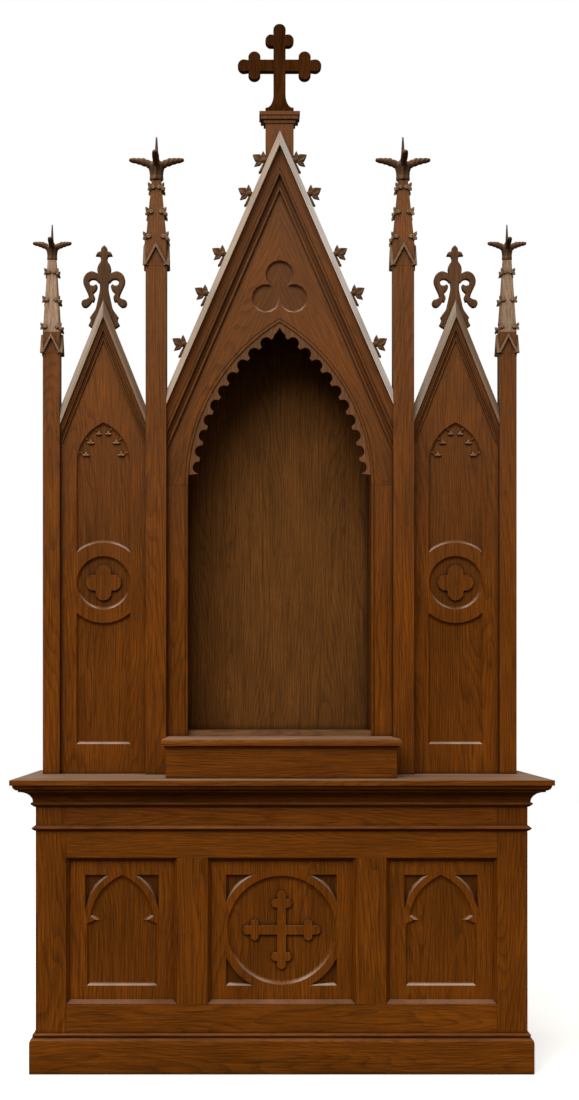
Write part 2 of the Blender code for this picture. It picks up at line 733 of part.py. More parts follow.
def build_predella():
    """Hollow step in front of the niche, with a rounded top board."""
    low = MENSA_TOP + GAP
    high = PREDELLA_TOP - PREDELLA_TOP_BOARD - GAP
    mould = high - BED_MOULD_HEIGHT
    back = PREDELLA_BOARD
    profile = [(-back, low), (0.0, low), (0.0, mould), (BED_MOULD_OUT, mould + BED_MOULD_HEIGHT / 2),
               (BED_MOULD_OUT, high), (-back, high)]
    half = PREDELLA_HALF
    front, rear = y_at(PREDELLA_FRONT), y_at(NICHE_FRONT - GAP)
    runs = {
        "front": ((-half + GAP, front), (half - GAP, front), (0, -1), (1, 1)),
        "left": ((-half, rear), (-half, front), (-1, 0), (0, 1)),
        "right": ((half, front), (half, rear), (1, 0), (1, 0)),
    }
    for side, (start, end, outward, mitres) in runs.items():
        add_piece(f"predella_{side}", run_mesh(profile, start, end, outward, mitres))
    build_predella_top()


def build_predella_top():
    """Top board of the step: rounded before the posts, plain between them and between the jambs."""
    half = PREDELLA_HALF + PREDELLA_NOSING
    levels = (PREDELLA_TOP - PREDELLA_TOP_BOARD, PREDELLA_TOP)
    post_front = INNER.front - GAP
    top = board("predella_top", (-half, half), (PREDELLA_FRONT - PREDELLA_NOSING, post_front), levels)
    weights = top.data.attributes.new("bevel_weight_edge", "FLOAT", "EDGE")
    front = y_at(PREDELLA_FRONT - PREDELLA_NOSING)
    for edge in top.data.edges:
        ends = [top.data.vertices[index].co for index in edge.vertices]
        upper = all(end.z > PREDELLA_TOP - SINK for end in ends)
        at_front = all(end.y < front + SINK for end in ends)
        at_side = all(abs(end.x) > half - SINK for end in ends) and ends[0].x * ends[1].x > 0
        weights.data[edge.index].value = 1.0 if upper and (at_front or at_side) else 0.0
    rounding = top.modifiers.new("nosing", "BEVEL")
    rounding.limit_method = "WEIGHT"
    rounding.width = PREDELLA_ROUND
    rounding.segments = 4
    for reach, span in ((POST_INNER_FACE - GAP, (post_front - GAP, NICHE_FRONT - GAP)),
                        (NICHE_HALF - GAP, (NICHE_FRONT - 2 * GAP, NICHE_BOARD_BACK))):
        combine(top, box_mesh((-reach, reach), span, levels), "UNION")


def build_niche():
    """Jambs, walls, roof, back and floor of the niche."""
    jamb_outer = POST_INNER_FACE - GAP
    for side, name in ((-1, "left"), (1, "right")):
        jamb = board(f"jamb_{name}", sorted((side * NICHE_HALF, side * jamb_outer)),
                     (NICHE_FRONT, NICHE_BOARD_BACK), (MENSA_TOP + GAP, NICHE_SPRINGING - GAP))
        middle = NICHE_HALF + GROOVE_INSET
        groove = sorted((side * (middle - GROOVE_WIDTH / 2), side * (middle + GROOVE_WIDTH / 2)))
        combine(jamb, box_mesh(groove, (NICHE_FRONT - CUT_ALLOWANCE, NICHE_FRONT + GROOVE_SINK),
                               (MENSA_TOP, GABLE_APEX)), "DIFFERENCE")
        wall_span = sorted((side * WALL_INNER, side * WALL_OUTER))
        board(f"niche_side_{name}", wall_span, (NICHE_BOARD_BACK + GAP, NICHE_BACK),
              (MENSA_TOP + GAP, NICHE_EAVES - GAP))
    build_niche_roof()
    inner = WALL_INNER - GAP
    pitch = (NICHE_RIDGE - NICHE_EAVES) / WALL_OUTER
    back_outline = [(-inner, MENSA_TOP + GAP), (inner, MENSA_TOP + GAP),
                    (inner, NICHE_RIDGE - inner * pitch - 2 * GAP), (0.0, NICHE_RIDGE - 2 * GAP),
                    (-inner, NICHE_RIDGE - inner * pitch - 2 * GAP)]
    back_mesh = upright_mesh([back_outline], (NICHE_BACK - NICHE_WALL, NICHE_BACK))
    add_piece("niche_back", back_mesh)
    add_piece("niche_floor", niche_floor_mesh(inner))


def niche_floor_mesh(half):
    """Floor board of the niche, a little above the step, with a sloping front edge."""
    top = PREDELLA_TOP + NICHE_FLOOR_RISE
    low = top - NICHE_FLOOR_BOARD
    front = NICHE_BOARD_BACK + GAP
    reach = NICHE_BACK - NICHE_WALL - GAP - front
    bevel = NICHE_FLOOR_BEVEL
    profile = [(0.0, low), (reach, low), (reach, top), (bevel, top), (0.0, top - bevel)]
    return run_mesh(profile, (-half, y_at(front)), (half, y_at(front)), (0, 1), (0, 0))


def build_niche_roof():
    """Two sloping boards that lean together over the niche walls and back."""
    pitch = (NICHE_RIDGE - NICHE_EAVES) / WALL_OUTER
    thick = NICHE_WALL * math.hypot(1, pitch)
    mitre = GAP / 2
    outline = [(mitre, NICHE_RIDGE - mitre * pitch), (WALL_OUTER, NICHE_EAVES),
               (WALL_OUTER, NICHE_EAVES + thick), (mitre, NICHE_RIDGE - mitre * pitch + thick)]
    mesh = upright_mesh([outline], (NICHE_BOARD_BACK + GAP, NICHE_BACK))
    right = add_piece("niche_roof_right", mesh)
    add_mirrored("niche_roof_left", right)


def build_gable():
    """Gable board with the arch head, its cusped lining and its raking mouldings."""
    slope = math.hypot(1, GABLE_SPREAD) / GABLE_SPREAD
    edge = GABLE_APEX - (RAKE_REBATE + GAP) * slope
    half = POST_INNER_FACE - GAP
    shoulder = edge - half / GABLE_SPREAD
    low = NICHE_SPRINGING
    arch = arch_points(NICHE_HALF, low, NICHE_APEX, 18)
    outline = [(half, low), (half, shoulder), (0.0, edge), (-half, shoulder), (-half, low), *reversed(arch)]
    gable = add_piece("gable_board", upright_mesh([outline], (NICHE_FRONT, NICHE_BOARD_BACK)))
    trefoil = shift_points(foil_outline(3, TREFOIL_OFFSET, TREFOIL_LOBE, 10), 0.0, TREFOIL_CENTRE)
    carve(gable, [trefoil], NICHE_FRONT, TREFOIL_SINK)
    carve(gable, [groove_outline()], NICHE_FRONT, GROOVE_SINK)
    add_piece("niche_tracery", tracery_mesh())
    rake = add_piece("gable_rake_right", rake_mesh(
        GABLE_APEX, GABLE_SPREAD, gable_rake_profile(), (GAP / 2, POST_INNER_FACE - GAP)))
    leaves = [crocket_mesh(height) for height in CROCKET_HEIGHTS]
    combine(rake, merged_mesh(leaves), "UNION")
    add_mirrored("gable_rake_left", rake)


def groove_outline():
    """Thin band along the arch, a little outside the opening."""
    radius, beyond = pointed_arch(NICHE_HALF, NICHE_SPRINGING, NICHE_APEX)
    bands = []
    for inset in (GROOVE_INSET + GROOVE_WIDTH / 2, GROOVE_INSET - GROOVE_WIDTH / 2):
        reach = radius + inset
        top = math.acos(beyond / reach)
        right = arc((-beyond, NICHE_SPRINGING), reach, -0.02, top, 18)
        bands.append(right + mirror_points(right[:-1]))
    return bands[0] + list(reversed(bands[1]))


def tracery_outline():
    """Cusped lining: the arch outside, and scallops along its inner edge."""
    radius, beyond = pointed_arch(NICHE_HALF, NICHE_SPRINGING, NICHE_APEX)
    outer = radius - GAP
    start = TRACERY_START / radius
    right = arc((-beyond, NICHE_SPRINGING), outer, start, math.acos(beyond / outer), 18)
    edge = right + mirror_points(right[:-1])
    inner = radius - TRACERY_REACH
    top = math.acos(beyond / inner)
    pitch = (top - start) / (SCALLOPS_PER_SIDE + 0.5)
    scallops = []
    for index in range(SCALLOPS_PER_SIDE):
        angle = start + pitch * (index + 0.5)
        centre = (-beyond + inner * math.cos(angle), NICHE_SPRINGING + inner * math.sin(angle))
        scallops += arc(centre, SCALLOP_RADIUS, angle - math.pi / 2, angle + math.pi / 2, 4)
    crown = (0.0, NICHE_SPRINGING + inner * math.sin(top) - SCALLOP_RADIUS * 0.6)
    scallops += arc(crown, SCALLOP_RADIUS, 0.0, math.pi, 6)[:4]
    inside = scallops + mirror_points(scallops[:-1])
    return edge + list(reversed(inside))


def tracery_mesh():
    """The cusped lining set a little behind the gable's face."""
    front = NICHE_FRONT + TRACERY_SETBACK
    return upright_mesh([tracery_outline()], (front, front + TRACERY_THICKNESS))


def rake_section(width, out, coping, fascia, groove, groove_sink, rebate, face, back):
    """Section of a raking moulding: inward from the outer edge, and depth."""
    front = face - out
    bead_start = fascia + groove
    middle = (bead_start + width) / 2
    floor = front + groove_sink
    bead = front + groove_sink / 2
    outer = [(0.0, back), (0.0, front + coping), (coping, front), (fascia, front), (fascia, floor)]
    inner = [(bead_start, floor), (bead_start, bead), (middle, bead + RAKE_BEAD_FALL)]
    foot = [(width - RAKE_FOOT, face - RAKE_FOOT), (width, face - GAP), (rebate, face - GAP), (rebate, back)]
    return outer + inner + foot


def gable_rake_profile():
    """Section of the great gable's raking moulding."""
    return rake_section(RAKE_WIDTH, RAKE_OUT, RAKE_COPING, RAKE_FASCIA, RAKE_GROOVE, RAKE_GROOVE_SINK,
                        RAKE_REBATE, NICHE_FRONT, NICHE_BOARD_BACK)


def bay_rake_profile():
    """Section of a small gable's raking moulding."""
    return rake_section(BAY_RAKE_WIDTH, BAY_RAKE_OUT, BAY_RAKE_COPING, BAY_RAKE_FASCIA, BAY_RAKE_GROOVE,
                        BAY_RAKE_GROOVE_SINK, BAY_RAKE_REBATE, BAY_FRONT, BAY_BACK)


def rake_mesh(apex, spread, section, x_span):
    """Run a raking section down a slope between two upright end planes, right of the apex."""
    drop = math.hypot(1, spread) / spread
    bm = bmesh.new()
    ring = [bm.verts.new((x_span[0], y_at(depth), apex - x_span[0] / spread - inward * drop))
            for inward, depth in section]
    extruded = bmesh.ops.extrude_face_region(bm, geom=[bm.faces.new(ring)])
    moved = [item for item in extruded["geom"] if isinstance(item, bmesh.types.BMVert)]
    travel = x_span[1] - x_span[0]
    bmesh.ops.translate(bm, verts=moved, vec=(travel, 0, -travel / spread))
    return mesh_from(bm)


def crocket_mesh(height):
    """A carved leaf on the right slope of the great gable."""
    slant = math.hypot(1, GABLE_SPREAD)
    across = (GABLE_APEX - height) * GABLE_SPREAD + CROCKET_STAND_OFF * slant
    middle = (NICHE_FRONT - RAKE_OUT + RAKE_COPING + NICHE_BOARD_BACK) / 2
    span = (middle - CROCKET_THICKNESS / 2, middle + CROCKET_THICKNESS / 2)
    return upright_mesh([shift_points(CROCKET_LEAF, across, height)], span)


def build_cross():
    """Pedestal behind the gable's apex and the cross that stands on it."""
    depth = NICHE_BOARD_BACK + GAP + PEDESTAL_DEPTH / 2
    pitch = (NICHE_RIDGE - NICHE_EAVES) / WALL_OUTER
    low = NICHE_RIDGE + NICHE_WALL * math.hypot(1, pitch) + GAP
    half = PEDESTAL_WIDTH / 2
    profile = [(half, low)]
    height = PEDESTAL_TOP - sum(tier[1] for tier in PEDESTAL_TIERS)
    profile.append((half, height))
    for width, rise in reversed(PEDESTAL_TIERS):
        profile.append((width / 2, height))
        height += rise
        profile.append((width / 2, height))
    pedestal = square_mesh(profile)
    pedestal.transform(Matrix.Scale(PEDESTAL_DEPTH / PEDESTAL_WIDTH, 4, (0, 1, 0)))
    add_piece("cross_pedestal", placed(pedestal, 0.0, depth))
    outline = standing_cross()
    span = (depth - CROSS_THICKNESS / 2, depth + CROSS_THICKNESS / 2)
    add_piece("cross", upright_mesh([outline], span), OAK_DARK)


def standing_cross():
    """Cross with three trefoil arms and a flared foot."""
    arms = cross_outline(CROSS_REACH, CROSS_ARM, CROSS_LOBE, 5, 3)
    half = CROSS_ARM / 2
    low = PEDESTAL_TOP + GAP - CROSS_CENTRE
    block = low + CROSS_FOOT_HEIGHT
    foot_half = CROSS_FOOT_WIDTH / 2
    flare = foot_half - half - CROSS_FOOT_LEDGE
    curve = [(half + flare * (1 - math.sin(turn)), block + CROSS_FOOT_FLARE * (1 - math.cos(turn)))
             for turn in (math.pi / 2 * step / 5 for step in range(6))]
    right = [(foot_half, low), (foot_half, block), *curve]
    return shift_points(arms + mirror_points(right) + right + [(half, -half)], 0.0, CROSS_CENTRE)


def build_turret(turret, side, name):
    """One post with its pinnacle and finial."""
    x = side * turret.centre_x
    half = turret.width / 2
    middle = turret.front + half
    label = f"{turret.name}_{name}"
    board(f"post_{label}", (x - half, x + half), (turret.front, turret.front + turret.width),
          (MENSA_TOP + GAP, turret.post_top - GAP))
    pinnacle = add_piece(f"pinnacle_{label}", placed(square_mesh([
        (half, turret.post_top), (half, turret.spire_start), (turret.spire_neck / 2, turret.spire_top),
    ]), x, middle), OAK_PALE)
    gablets = [gablet_mesh(turret, turn) for turn in range(4)]
    for pair in (gablets[0::2], gablets[1::2]):
        combine(pinnacle, placed(merged_mesh(pair), x, middle), "UNION")
    leaves = [spire_leaf_mesh(turret, height, turn) for height in turret.tiers for turn in range(4)]
    combine(pinnacle, placed(merged_mesh(leaves), x, middle), "UNION")
    build_finial(turret, label, x, middle)


def gablet_mesh(turret, turn):
    """Raised chevron on one face of a pinnacle."""
    half = turret.gablet_half - (GABLET_OUT if turn % 2 else 0.0)
    low = turret.post_top
    apex = low + turret.gablet_rise
    full = turret.gablet_half
    foot = low + (full - half) * (apex - low - GABLET_BAND) / full
    outline = [(half, foot), (half, foot + GABLET_BAND), (0.0, apex), (-half, foot + GABLET_BAND),
               (-half, foot), (0.0, apex - GABLET_BAND * 1.6)]
    face = turret.width / 2
    mesh = plate_mesh([outline], GABLET_OUT + SINK)
    stand = Matrix.Rotation(math.pi / 2, 4, "X")
    lift = Matrix.Translation((0, -face - GABLET_OUT / 2 + SINK / 2, 0))
    mesh.transform(Matrix.Rotation(turn * math.pi / 2, 4, "Z") @ lift @ stand)
    return mesh


def spire_leaf_mesh(turret, height, turn):
    """Small leaf at one corner of a spire, set on the diagonal."""
    taper = (height - turret.spire_start) / (turret.spire_top - turret.spire_start)
    half = turret.width / 2 + (turret.spire_neck / 2 - turret.width / 2) * max(taper, 0.0)
    corner = half * math.sqrt(2)
    outline = [(corner + out * turret.leaf_size, height + up * turret.leaf_size) for out, up in SPIRE_LEAF]
    mesh = plate_mesh([outline], SPIRE_LEAF_THICKNESS * turret.leaf_size)
    diagonal = Matrix.Rotation(math.pi / 4 + turn * math.pi / 2, 4, "Z")
    mesh.transform(diagonal @ Matrix.Rotation(math.pi / 2, 4, "X"))
    return mesh


def build_finial(turret, label, x, middle):
    """Cup, four leaf arms and a central spike on top of a spire."""
    low = turret.spire_top + GAP
    cup, rise = turret.cup_width / 2, turret.cup_height
    profile = [(0.0, low), (cup * 0.72, low), (cup, low + rise * 0.22), (cup * 0.95, low + rise * 0.6),
               (cup * 0.98, low + rise), (cup * 0.5, low + rise * 1.35), (0.0, low + rise * 1.35)]
    finial = add_piece(f"finial_{label}", placed(turned_mesh(profile, 12), x, middle), OAK_PALE)
    for turns in ((0, 2), (1, 3)):
        arms = merged_mesh([finial_arm_mesh(turret, low, turn) for turn in turns])
        combine(finial, placed(arms, x, middle), "UNION")
    spike = [(0.0, low + rise), (cup * 0.32, low + rise), (cup * 0.08, low + turret.finial_height),
             (0.0, low + turret.finial_height)]
    combine(finial, placed(turned_mesh(spike, 8), x, middle), "UNION")


def finial_arm_mesh(turret, low, turn):
    """One tapering leaf arm that curves out level from the cup."""
    curve = bpy.data.curves.new("arm", "CURVE")
    curve.dimensions = "3D"
    curve.bevel_depth = turret.finial_height
    curve.bevel_resolution = 1
    curve.use_fill_caps = True
    spline = curve.splines.new("POLY")
    spline.points.add(len(FINIAL_ARM) - 1)
    for point, (reach, rise, thick) in zip(spline.points, FINIAL_ARM):
        point.co = (reach * turret.leaf_half_span, 0.0, low + rise * turret.finial_height, 1.0)
        point.radius = thick
    holder = add_cutter(curve)
    mesh = evaluated_mesh(holder)
    bpy.data.objects.remove(holder)
    bm = bmesh.new()
    bm.from_mesh(mesh)
    bmesh.ops.remove_doubles(bm, verts=bm.verts, dist=MERGE)
    mesh = mesh_from(bm)
    mesh.transform(Matrix.Rotation(turn * math.pi / 2, 4, "Z"))
    return mesh


def build_bays():
    """Carved side boards with their small gables and fleurs."""
    slope = math.hypot(1, BAY_SPREAD) / BAY_SPREAD
    half = (BAY_OUTER - BAY_INNER) / 2 - GAP
    edge = BAY_APEX - (BAY_RAKE_REBATE + GAP) * slope
    shoulder = edge - half / BAY_SPREAD
    low = MENSA_TOP + GAP
    outline = [(-half, low), (half, low), (half, shoulder), (0.0, edge), (-half, shoulder)]
    bay_mesh = upright_mesh([shift_points(outline, BAY_CENTRE)], (BAY_FRONT, BAY_BACK))
    bay = add_piece("side_board_right", bay_mesh)
    medallion = circle((0.0, MEDALLION_CENTRE), MEDALLION_RADIUS, 32)
    for sunk in (lower_bay_panel(), upper_bay_panel(cusped_head()), medallion):
        carve(bay, [shift_points(sunk, BAY_CENTRE)], BAY_FRONT, BAY_PANEL_SINK)
    plain_head = arch_points(BAY_PANEL_HALF, BAY_PANEL_SPRINGING, BAY_PANEL_APEX, 8)
    carve(bay, [shift_points(upper_bay_panel(plain_head), BAY_CENTRE)], BAY_FRONT, BAY_TRACERY_SINK)
    rosette = shift_points(foil_outline(4, ROSETTE_OFFSET, ROSETTE_LOBE, 6), BAY_CENTRE, MEDALLION_CENTRE)
    raised = upright_mesh([rosette], (BAY_FRONT + GAP, BAY_FRONT + BAY_PANEL_SINK + SINK))
    combine(bay, raised, "UNION")
    add_mirrored("side_board_left", bay)
    right_rake = rake_mesh(BAY_APEX, BAY_SPREAD, bay_rake_profile(), (GAP / 2, half))
    for side, bay_name in ((-1, "left"), (1, "right")):
        for hand, hand_name in ((1, "outer"), (-1, "inner")):
            mesh = right_rake.copy()
            if side * hand < 0:
                mesh.transform(Matrix.Scale(-1, 4, (1, 0, 0)))
                mesh.flip_normals()
            mesh.transform(Matrix.Translation((side * BAY_CENTRE, 0, 0)))
            add_piece(f"side_rake_{bay_name}_{hand_name}", mesh)
        build_fleur(side, bay_name)


def lower_bay_panel():
    """Sunk field below the medallion."""
    reach = math.asin(BAY_PANEL_HALF / MEDALLION_RIM)
    rim = arc((0.0, MEDALLION_CENTRE), MEDALLION_RIM, -math.pi / 2 + reach, -math.pi / 2 - reach, 8)
    return [(-BAY_PANEL_HALF, BAY_PANEL_BOTTOM), (BAY_PANEL_HALF, BAY_PANEL_BOTTOM), *rim]


def upper_bay_panel(head):
    """Sunk field above the medallion, closed by a given head."""
    reach = math.asin(BAY_PANEL_HALF / MEDALLION_RIM)
    rim = arc((0.0, MEDALLION_CENTRE), MEDALLION_RIM, math.pi / 2 + reach, math.pi / 2 - reach, 8)
    return rim + head


def cusped_head():
    """Pointed head with foils between cusps that reach in from its band."""
    radius, beyond = pointed_arch(BAY_PANEL_HALF, BAY_PANEL_SPRINGING, BAY_PANEL_APEX)
    outer = radius - BAY_TRACERY_BAND
    top = math.acos(beyond / outer)
    pitch = top / (BAY_CUSPS_PER_SIDE - 0.25)
    right = [(BAY_PANEL_HALF, BAY_PANEL_SPRINGING - BAY_CUSP_REACH)]
    steps = 4
    for index in range(BAY_CUSPS_PER_SIDE * steps):
        share = index / steps
        angle = pitch * share
        if angle > top:
            break
        reach = outer - BAY_CUSP_REACH * (1 - math.sin(math.pi * (share % 1.0)))
        right.append((reach * math.cos(angle) - beyond, BAY_PANEL_SPRINGING + reach * math.sin(angle)))
    right = [point for point in right if point[0] > MERGE]
    crown = (0.0, BAY_PANEL_SPRINGING + outer * math.sin(top) - BAY_CUSP_REACH / 4)
    return right + [crown] + mirror_points(right)


def build_fleur(side, name):
    """Fleur with two scroll arms behind a small gable's apex."""
    span = (BAY_BACK + GAP, BAY_BACK + GAP + FLEUR_THICKNESS)
    middle = side * BAY_CENTRE
    stem = [(0.0, 0.0), *FLEUR_STEM]
    stem = [(across, FLEUR_TOP - down) for across, down in stem]
    stem += mirror_points(stem[1:])
    fleur = add_piece(f"fleur_{name}", upright_mesh([shift_points(stem, middle)], span), OAK_PALE)
    for hand in (1, -1):
        arm = [(hand * across + middle, FLEUR_TOP - down) for across, down in FLEUR_ARM]
        combine(fleur, upright_mesh([arm], span), "UNION")


def build_altar():
    """Make every piece of the altar."""
    build_base_frame()
    build_panels()
    build_predella()
    build_niche()
    build_gable()
    build_cross()
    for turret in (INNER, OUTER):
        for side, name in ((-1, "left"), (1, "right")):
            build_turret(turret, side, name)
    build_bays()


build_altar()
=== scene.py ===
"""Gothic oak altar with a tall reredos: its finishes, its finer carving and a plain studio.

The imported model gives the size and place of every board. This script dresses those boards,
replaces the carved ones by finer carving of the same size, and sets up floor, light and camera.
"""

import logging
import math
from dataclasses import dataclass
from enum import Enum

import bmesh
import bpy
from mathutils import Matrix, Vector


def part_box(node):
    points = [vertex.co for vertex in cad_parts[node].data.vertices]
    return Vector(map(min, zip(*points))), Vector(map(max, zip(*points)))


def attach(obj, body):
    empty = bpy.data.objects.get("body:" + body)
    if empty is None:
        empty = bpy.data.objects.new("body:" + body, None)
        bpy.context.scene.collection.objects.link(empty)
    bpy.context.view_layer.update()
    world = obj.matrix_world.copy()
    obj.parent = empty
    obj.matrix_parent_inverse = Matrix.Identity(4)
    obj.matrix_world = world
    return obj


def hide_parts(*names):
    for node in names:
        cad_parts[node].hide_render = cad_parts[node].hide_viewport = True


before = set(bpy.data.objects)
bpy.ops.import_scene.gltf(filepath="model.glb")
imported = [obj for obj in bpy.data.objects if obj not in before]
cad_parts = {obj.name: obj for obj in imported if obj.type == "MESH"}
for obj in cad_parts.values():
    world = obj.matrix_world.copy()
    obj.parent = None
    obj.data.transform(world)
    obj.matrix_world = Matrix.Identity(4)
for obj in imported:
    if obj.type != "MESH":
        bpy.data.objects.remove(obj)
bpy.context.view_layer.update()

LOG = logging.getLogger("altar")
MM = 0.001
ROOT = "root"


def linear(code: str) -> tuple[float, float, float, float]:
    """Turn an sRGB hex colour into linear light.

    Args:
        code: Colour such as "#6a3d12".

    Returns:
        Red, green, blue and an alpha of 1.
    """
    shares = [int(code[place:place + 2], 16) / 255 for place in (1, 3, 5)]
    red, green, blue = (s / 12.92 if s <= 0.04045 else ((s + 0.055) / 1.055) ** 2.4 for s in shares)
    return red, green, blue, 1.0


def add_node(tree: bpy.types.NodeTree, kind: str, inputs: dict | None = None, **settings) -> bpy.types.Node:
    """Add a node, set its options, and set or link its inputs.

    Args:
        tree: The node tree that gets the node.
        kind: The node's type, such as "ShaderNodeMath".
        inputs: Input name or number, with a value or the output socket that feeds it.
        settings: The node's own options.

    Returns:
        The new node.
    """
    node = tree.nodes.new(kind)
    for option, value in settings.items():
        setattr(node, option, value)
    for key, value in (inputs or {}).items():
        if isinstance(value, bpy.types.NodeSocket):
            tree.links.new(value, node.inputs[key])
        else:
            node.inputs[key].default_value = value
    return node


def worked(tree: bpy.types.NodeTree, operation: str, *values, **settings) -> bpy.types.NodeSocket:
    """Add a Math node on some values or sockets, and give its result."""
    node = add_node(tree, "ShaderNodeMath", dict(enumerate(values)), operation=operation, **settings)
    return node.outputs["Value"]


def ranged(tree: bpy.types.NodeTree, value: bpy.types.NodeSocket, source: tuple, target: tuple,
           **settings) -> bpy.types.NodeSocket:
    """Carry a value over from one span to another, and give the result."""
    return add_node(tree, "ShaderNodeMapRange", {
        "Value": value, "From Min": source[0], "From Max": source[1],
        "To Min": target[0], "To Max": target[1]},
        **settings).outputs["Result"]


class Grain(Enum):
    """Which way the grain of a board runs: the turn that stands it up along Z."""

    UPRIGHT = (0.0, 0.0, 0.0)
    LEVEL = (0.0, math.radians(-90), 0.0)
    DEPTH = (math.radians(90), 0.0, 0.0)
    RISES_RIGHT = (0.0, math.radians(-24), 0.0)
    RISES_LEFT = (0.0, math.radians(24), 0.0)


@dataclass(frozen=True)
class StainedOak:
    """Oak, planed or carved, with a brown stain and a satin varnish.

    It gives the eye long grain lines with dark open pores, a slow change of tone along each board and a soft
    sheen.
    Where a face looks upwards it turns pale, partly from scuffed varnish and a little dust and partly as a
    painted highlight; the lower slopes of gouged hollows get a painted highlight, corners, recesses and the
    floors of carvings get painted shade, and a painted haze of reflected light grows towards the top.
    Rings are about 2.5 mm apart and pores 0.3 mm wide on the real wood; both are drawn coarser,
    so that they still show when the whole altar is in view.
    """

    name: str
    slot: str
    light: str
    body: str
    dark: str
    # pale on faces that look up: part scuffed varnish and dust, part painted highlight
    worn_and_lit: str = "#8f735c"
    wear_and_highlight: float = 0.16
    worn_and_lit_slopes: tuple[float, float] = (0.35, 1.0)
    roughness: float = 0.42
    ring_mm: float = 6.0
    ring_share: float = 0.10
    sweep_mm: float = 170.0
    fibre_mm: float = 3.6
    tone_mm: float = 120.0
    pore_mm: float = 1.5
    blotch: float = 0.24
    # reach of the painted shade in corners and recesses
    crevice_mm: float = 15.0
    gloss: float = 0.24
    # painted haze of reflected light that grows towards the top
    painted_haze_colour: str = "#8d7663"
    painted_haze: float = 0.16

    def material(self, grain: Grain) -> bpy.types.Material:
        """Build the material, or give the one that is there.

        Args:
            grain: Which way the grain runs.

        Returns:
            The material.
        """
        name = f"{self.name}, {grain.name.lower().replace('_', ' ')} grain"
        found = bpy.data.materials.get(name)
        if found:
            return found
        material = bpy.data.materials.new(name)
        material.use_nodes = True
        tree = material.node_tree
        tree.nodes.clear()
        place = self.board_space(tree, grain)
        rings = self.rings(tree, place)
        pores = self.pores(tree, place, rings)
        colour = self.colour(tree, place, rings, pores)
        relief = add_node(tree, "ShaderNodeBump", {"Height": pores, "Strength": 0.35, "Distance": 0.4 * MM})
        roughness = ranged(tree, pores, (0.0, 1.0), (self.roughness + 0.22, self.roughness))
        shader = add_node(tree, "ShaderNodeBsdfPrincipled", {
            "Base Color": colour, "Roughness": roughness, "Normal": relief.outputs["Normal"],
            "IOR": 1.5, "Specular IOR Level": self.gloss, "Specular Tint": linear("#ffc890")})
        add_node(tree, "ShaderNodeOutputMaterial", {"Surface": shader.outputs["BSDF"]})
        return material

    def board_space(self, tree: bpy.types.NodeTree, grain: Grain) -> bpy.types.NodeSocket:
        """Turn object coordinates so that Z runs along the grain, and shift them from board to board.

        Args:
            tree: The material's tree.
            grain: Which way the grain runs.

        Returns:
            A vector in metres.
        """
        coordinates = add_node(tree, "ShaderNodeTexCoord")
        turned = add_node(tree, "ShaderNodeMapping", {
            "Vector": coordinates.outputs["Object"], "Rotation": grain.value})
        board = add_node(tree, "ShaderNodeAttribute", attribute_name="board")
        shift = add_node(tree, "ShaderNodeVectorMath", {0: (0.37, 0.53, 1.71), "Scale": board.outputs["Fac"]},
                         operation="SCALE")
        return add_node(tree, "ShaderNodeVectorMath", {
            0: turned.outputs["Vector"], 1: shift.outputs["Vector"]}, operation="ADD").outputs["Vector"]

    def streaks(self, tree: bpy.types.NodeTree, place: bpy.types.NodeSocket, width_mm: float, stretch: float,
                detail: float, roughness: float = 0.5) -> bpy.types.NodeSocket:
        """Noise drawn out along the grain.

        Args:
            tree: The material's tree.
            place: Board space in metres.
            width_mm: Width of a streak.
            stretch: How many times longer than wide a streak is.
            detail: Octaves of finer noise.
            roughness: Strength of each finer octave.

        Returns:
            The noise, from 0 to 1.
        """
        across = 1.0 / (width_mm * MM)
        drawn = add_node(tree, "ShaderNodeMapping", {
            "Vector": place, "Scale": (across, across, across / stretch)})
        noise = add_node(tree, "ShaderNodeTexNoise", {
            "Vector": drawn.outputs["Vector"], "Scale": 1.0, "Detail": detail, "Roughness": roughness})
        return noise.outputs["Fac"]

    def rings(self, tree: bpy.types.NodeTree, place: bpy.types.NodeSocket) -> bpy.types.NodeSocket:
        """Growth rings of a sawn board: wandering lines that close into tall arches here and there.

        Args:
            tree: The material's tree.
            place: Board space in metres.

        Returns:
            1 in the pale late wood, 0 in the dark early wood.
        """
        sweep = self.streaks(tree, place, self.sweep_mm, 7.0, 2.0, 0.4)
        axes = add_node(tree, "ShaderNodeSeparateXYZ", {"Vector": place})
        across = worked(tree, "ADD", axes.outputs["X"], axes.outputs["Y"])
        count = worked(tree, "MULTIPLY", across, 0.45 / (self.ring_mm * MM))
        wander = worked(tree, "MULTIPLY_ADD", sweep, self.sweep_mm / self.ring_mm, count)
        return ranged(tree, worked(tree, "FRACT", wander), (0.0, 0.55), (0.0, 1.0),
                      interpolation_type="SMOOTHSTEP")

    def pores(self, tree: bpy.types.NodeTree, place: bpy.types.NodeSocket,
              rings: bpy.types.NodeSocket) -> bpy.types.NodeSocket:
        """Open pores: short dark dashes along the grain, most of them in the early wood.

        Args:
            tree: The material's tree.
            place: Board space in metres.
            rings: The growth rings.

        Returns:
            0 in a pore, 1 on the planed face.
        """
        dashes = self.streaks(tree, place, self.pore_mm, 26.0, 2.0, 0.6)
        least = ranged(tree, rings, (0.0, 1.0), (0.47, 0.37))
        return ranged(tree, dashes, (least, worked(tree, "ADD", least, 0.12)), (0.0, 1.0))

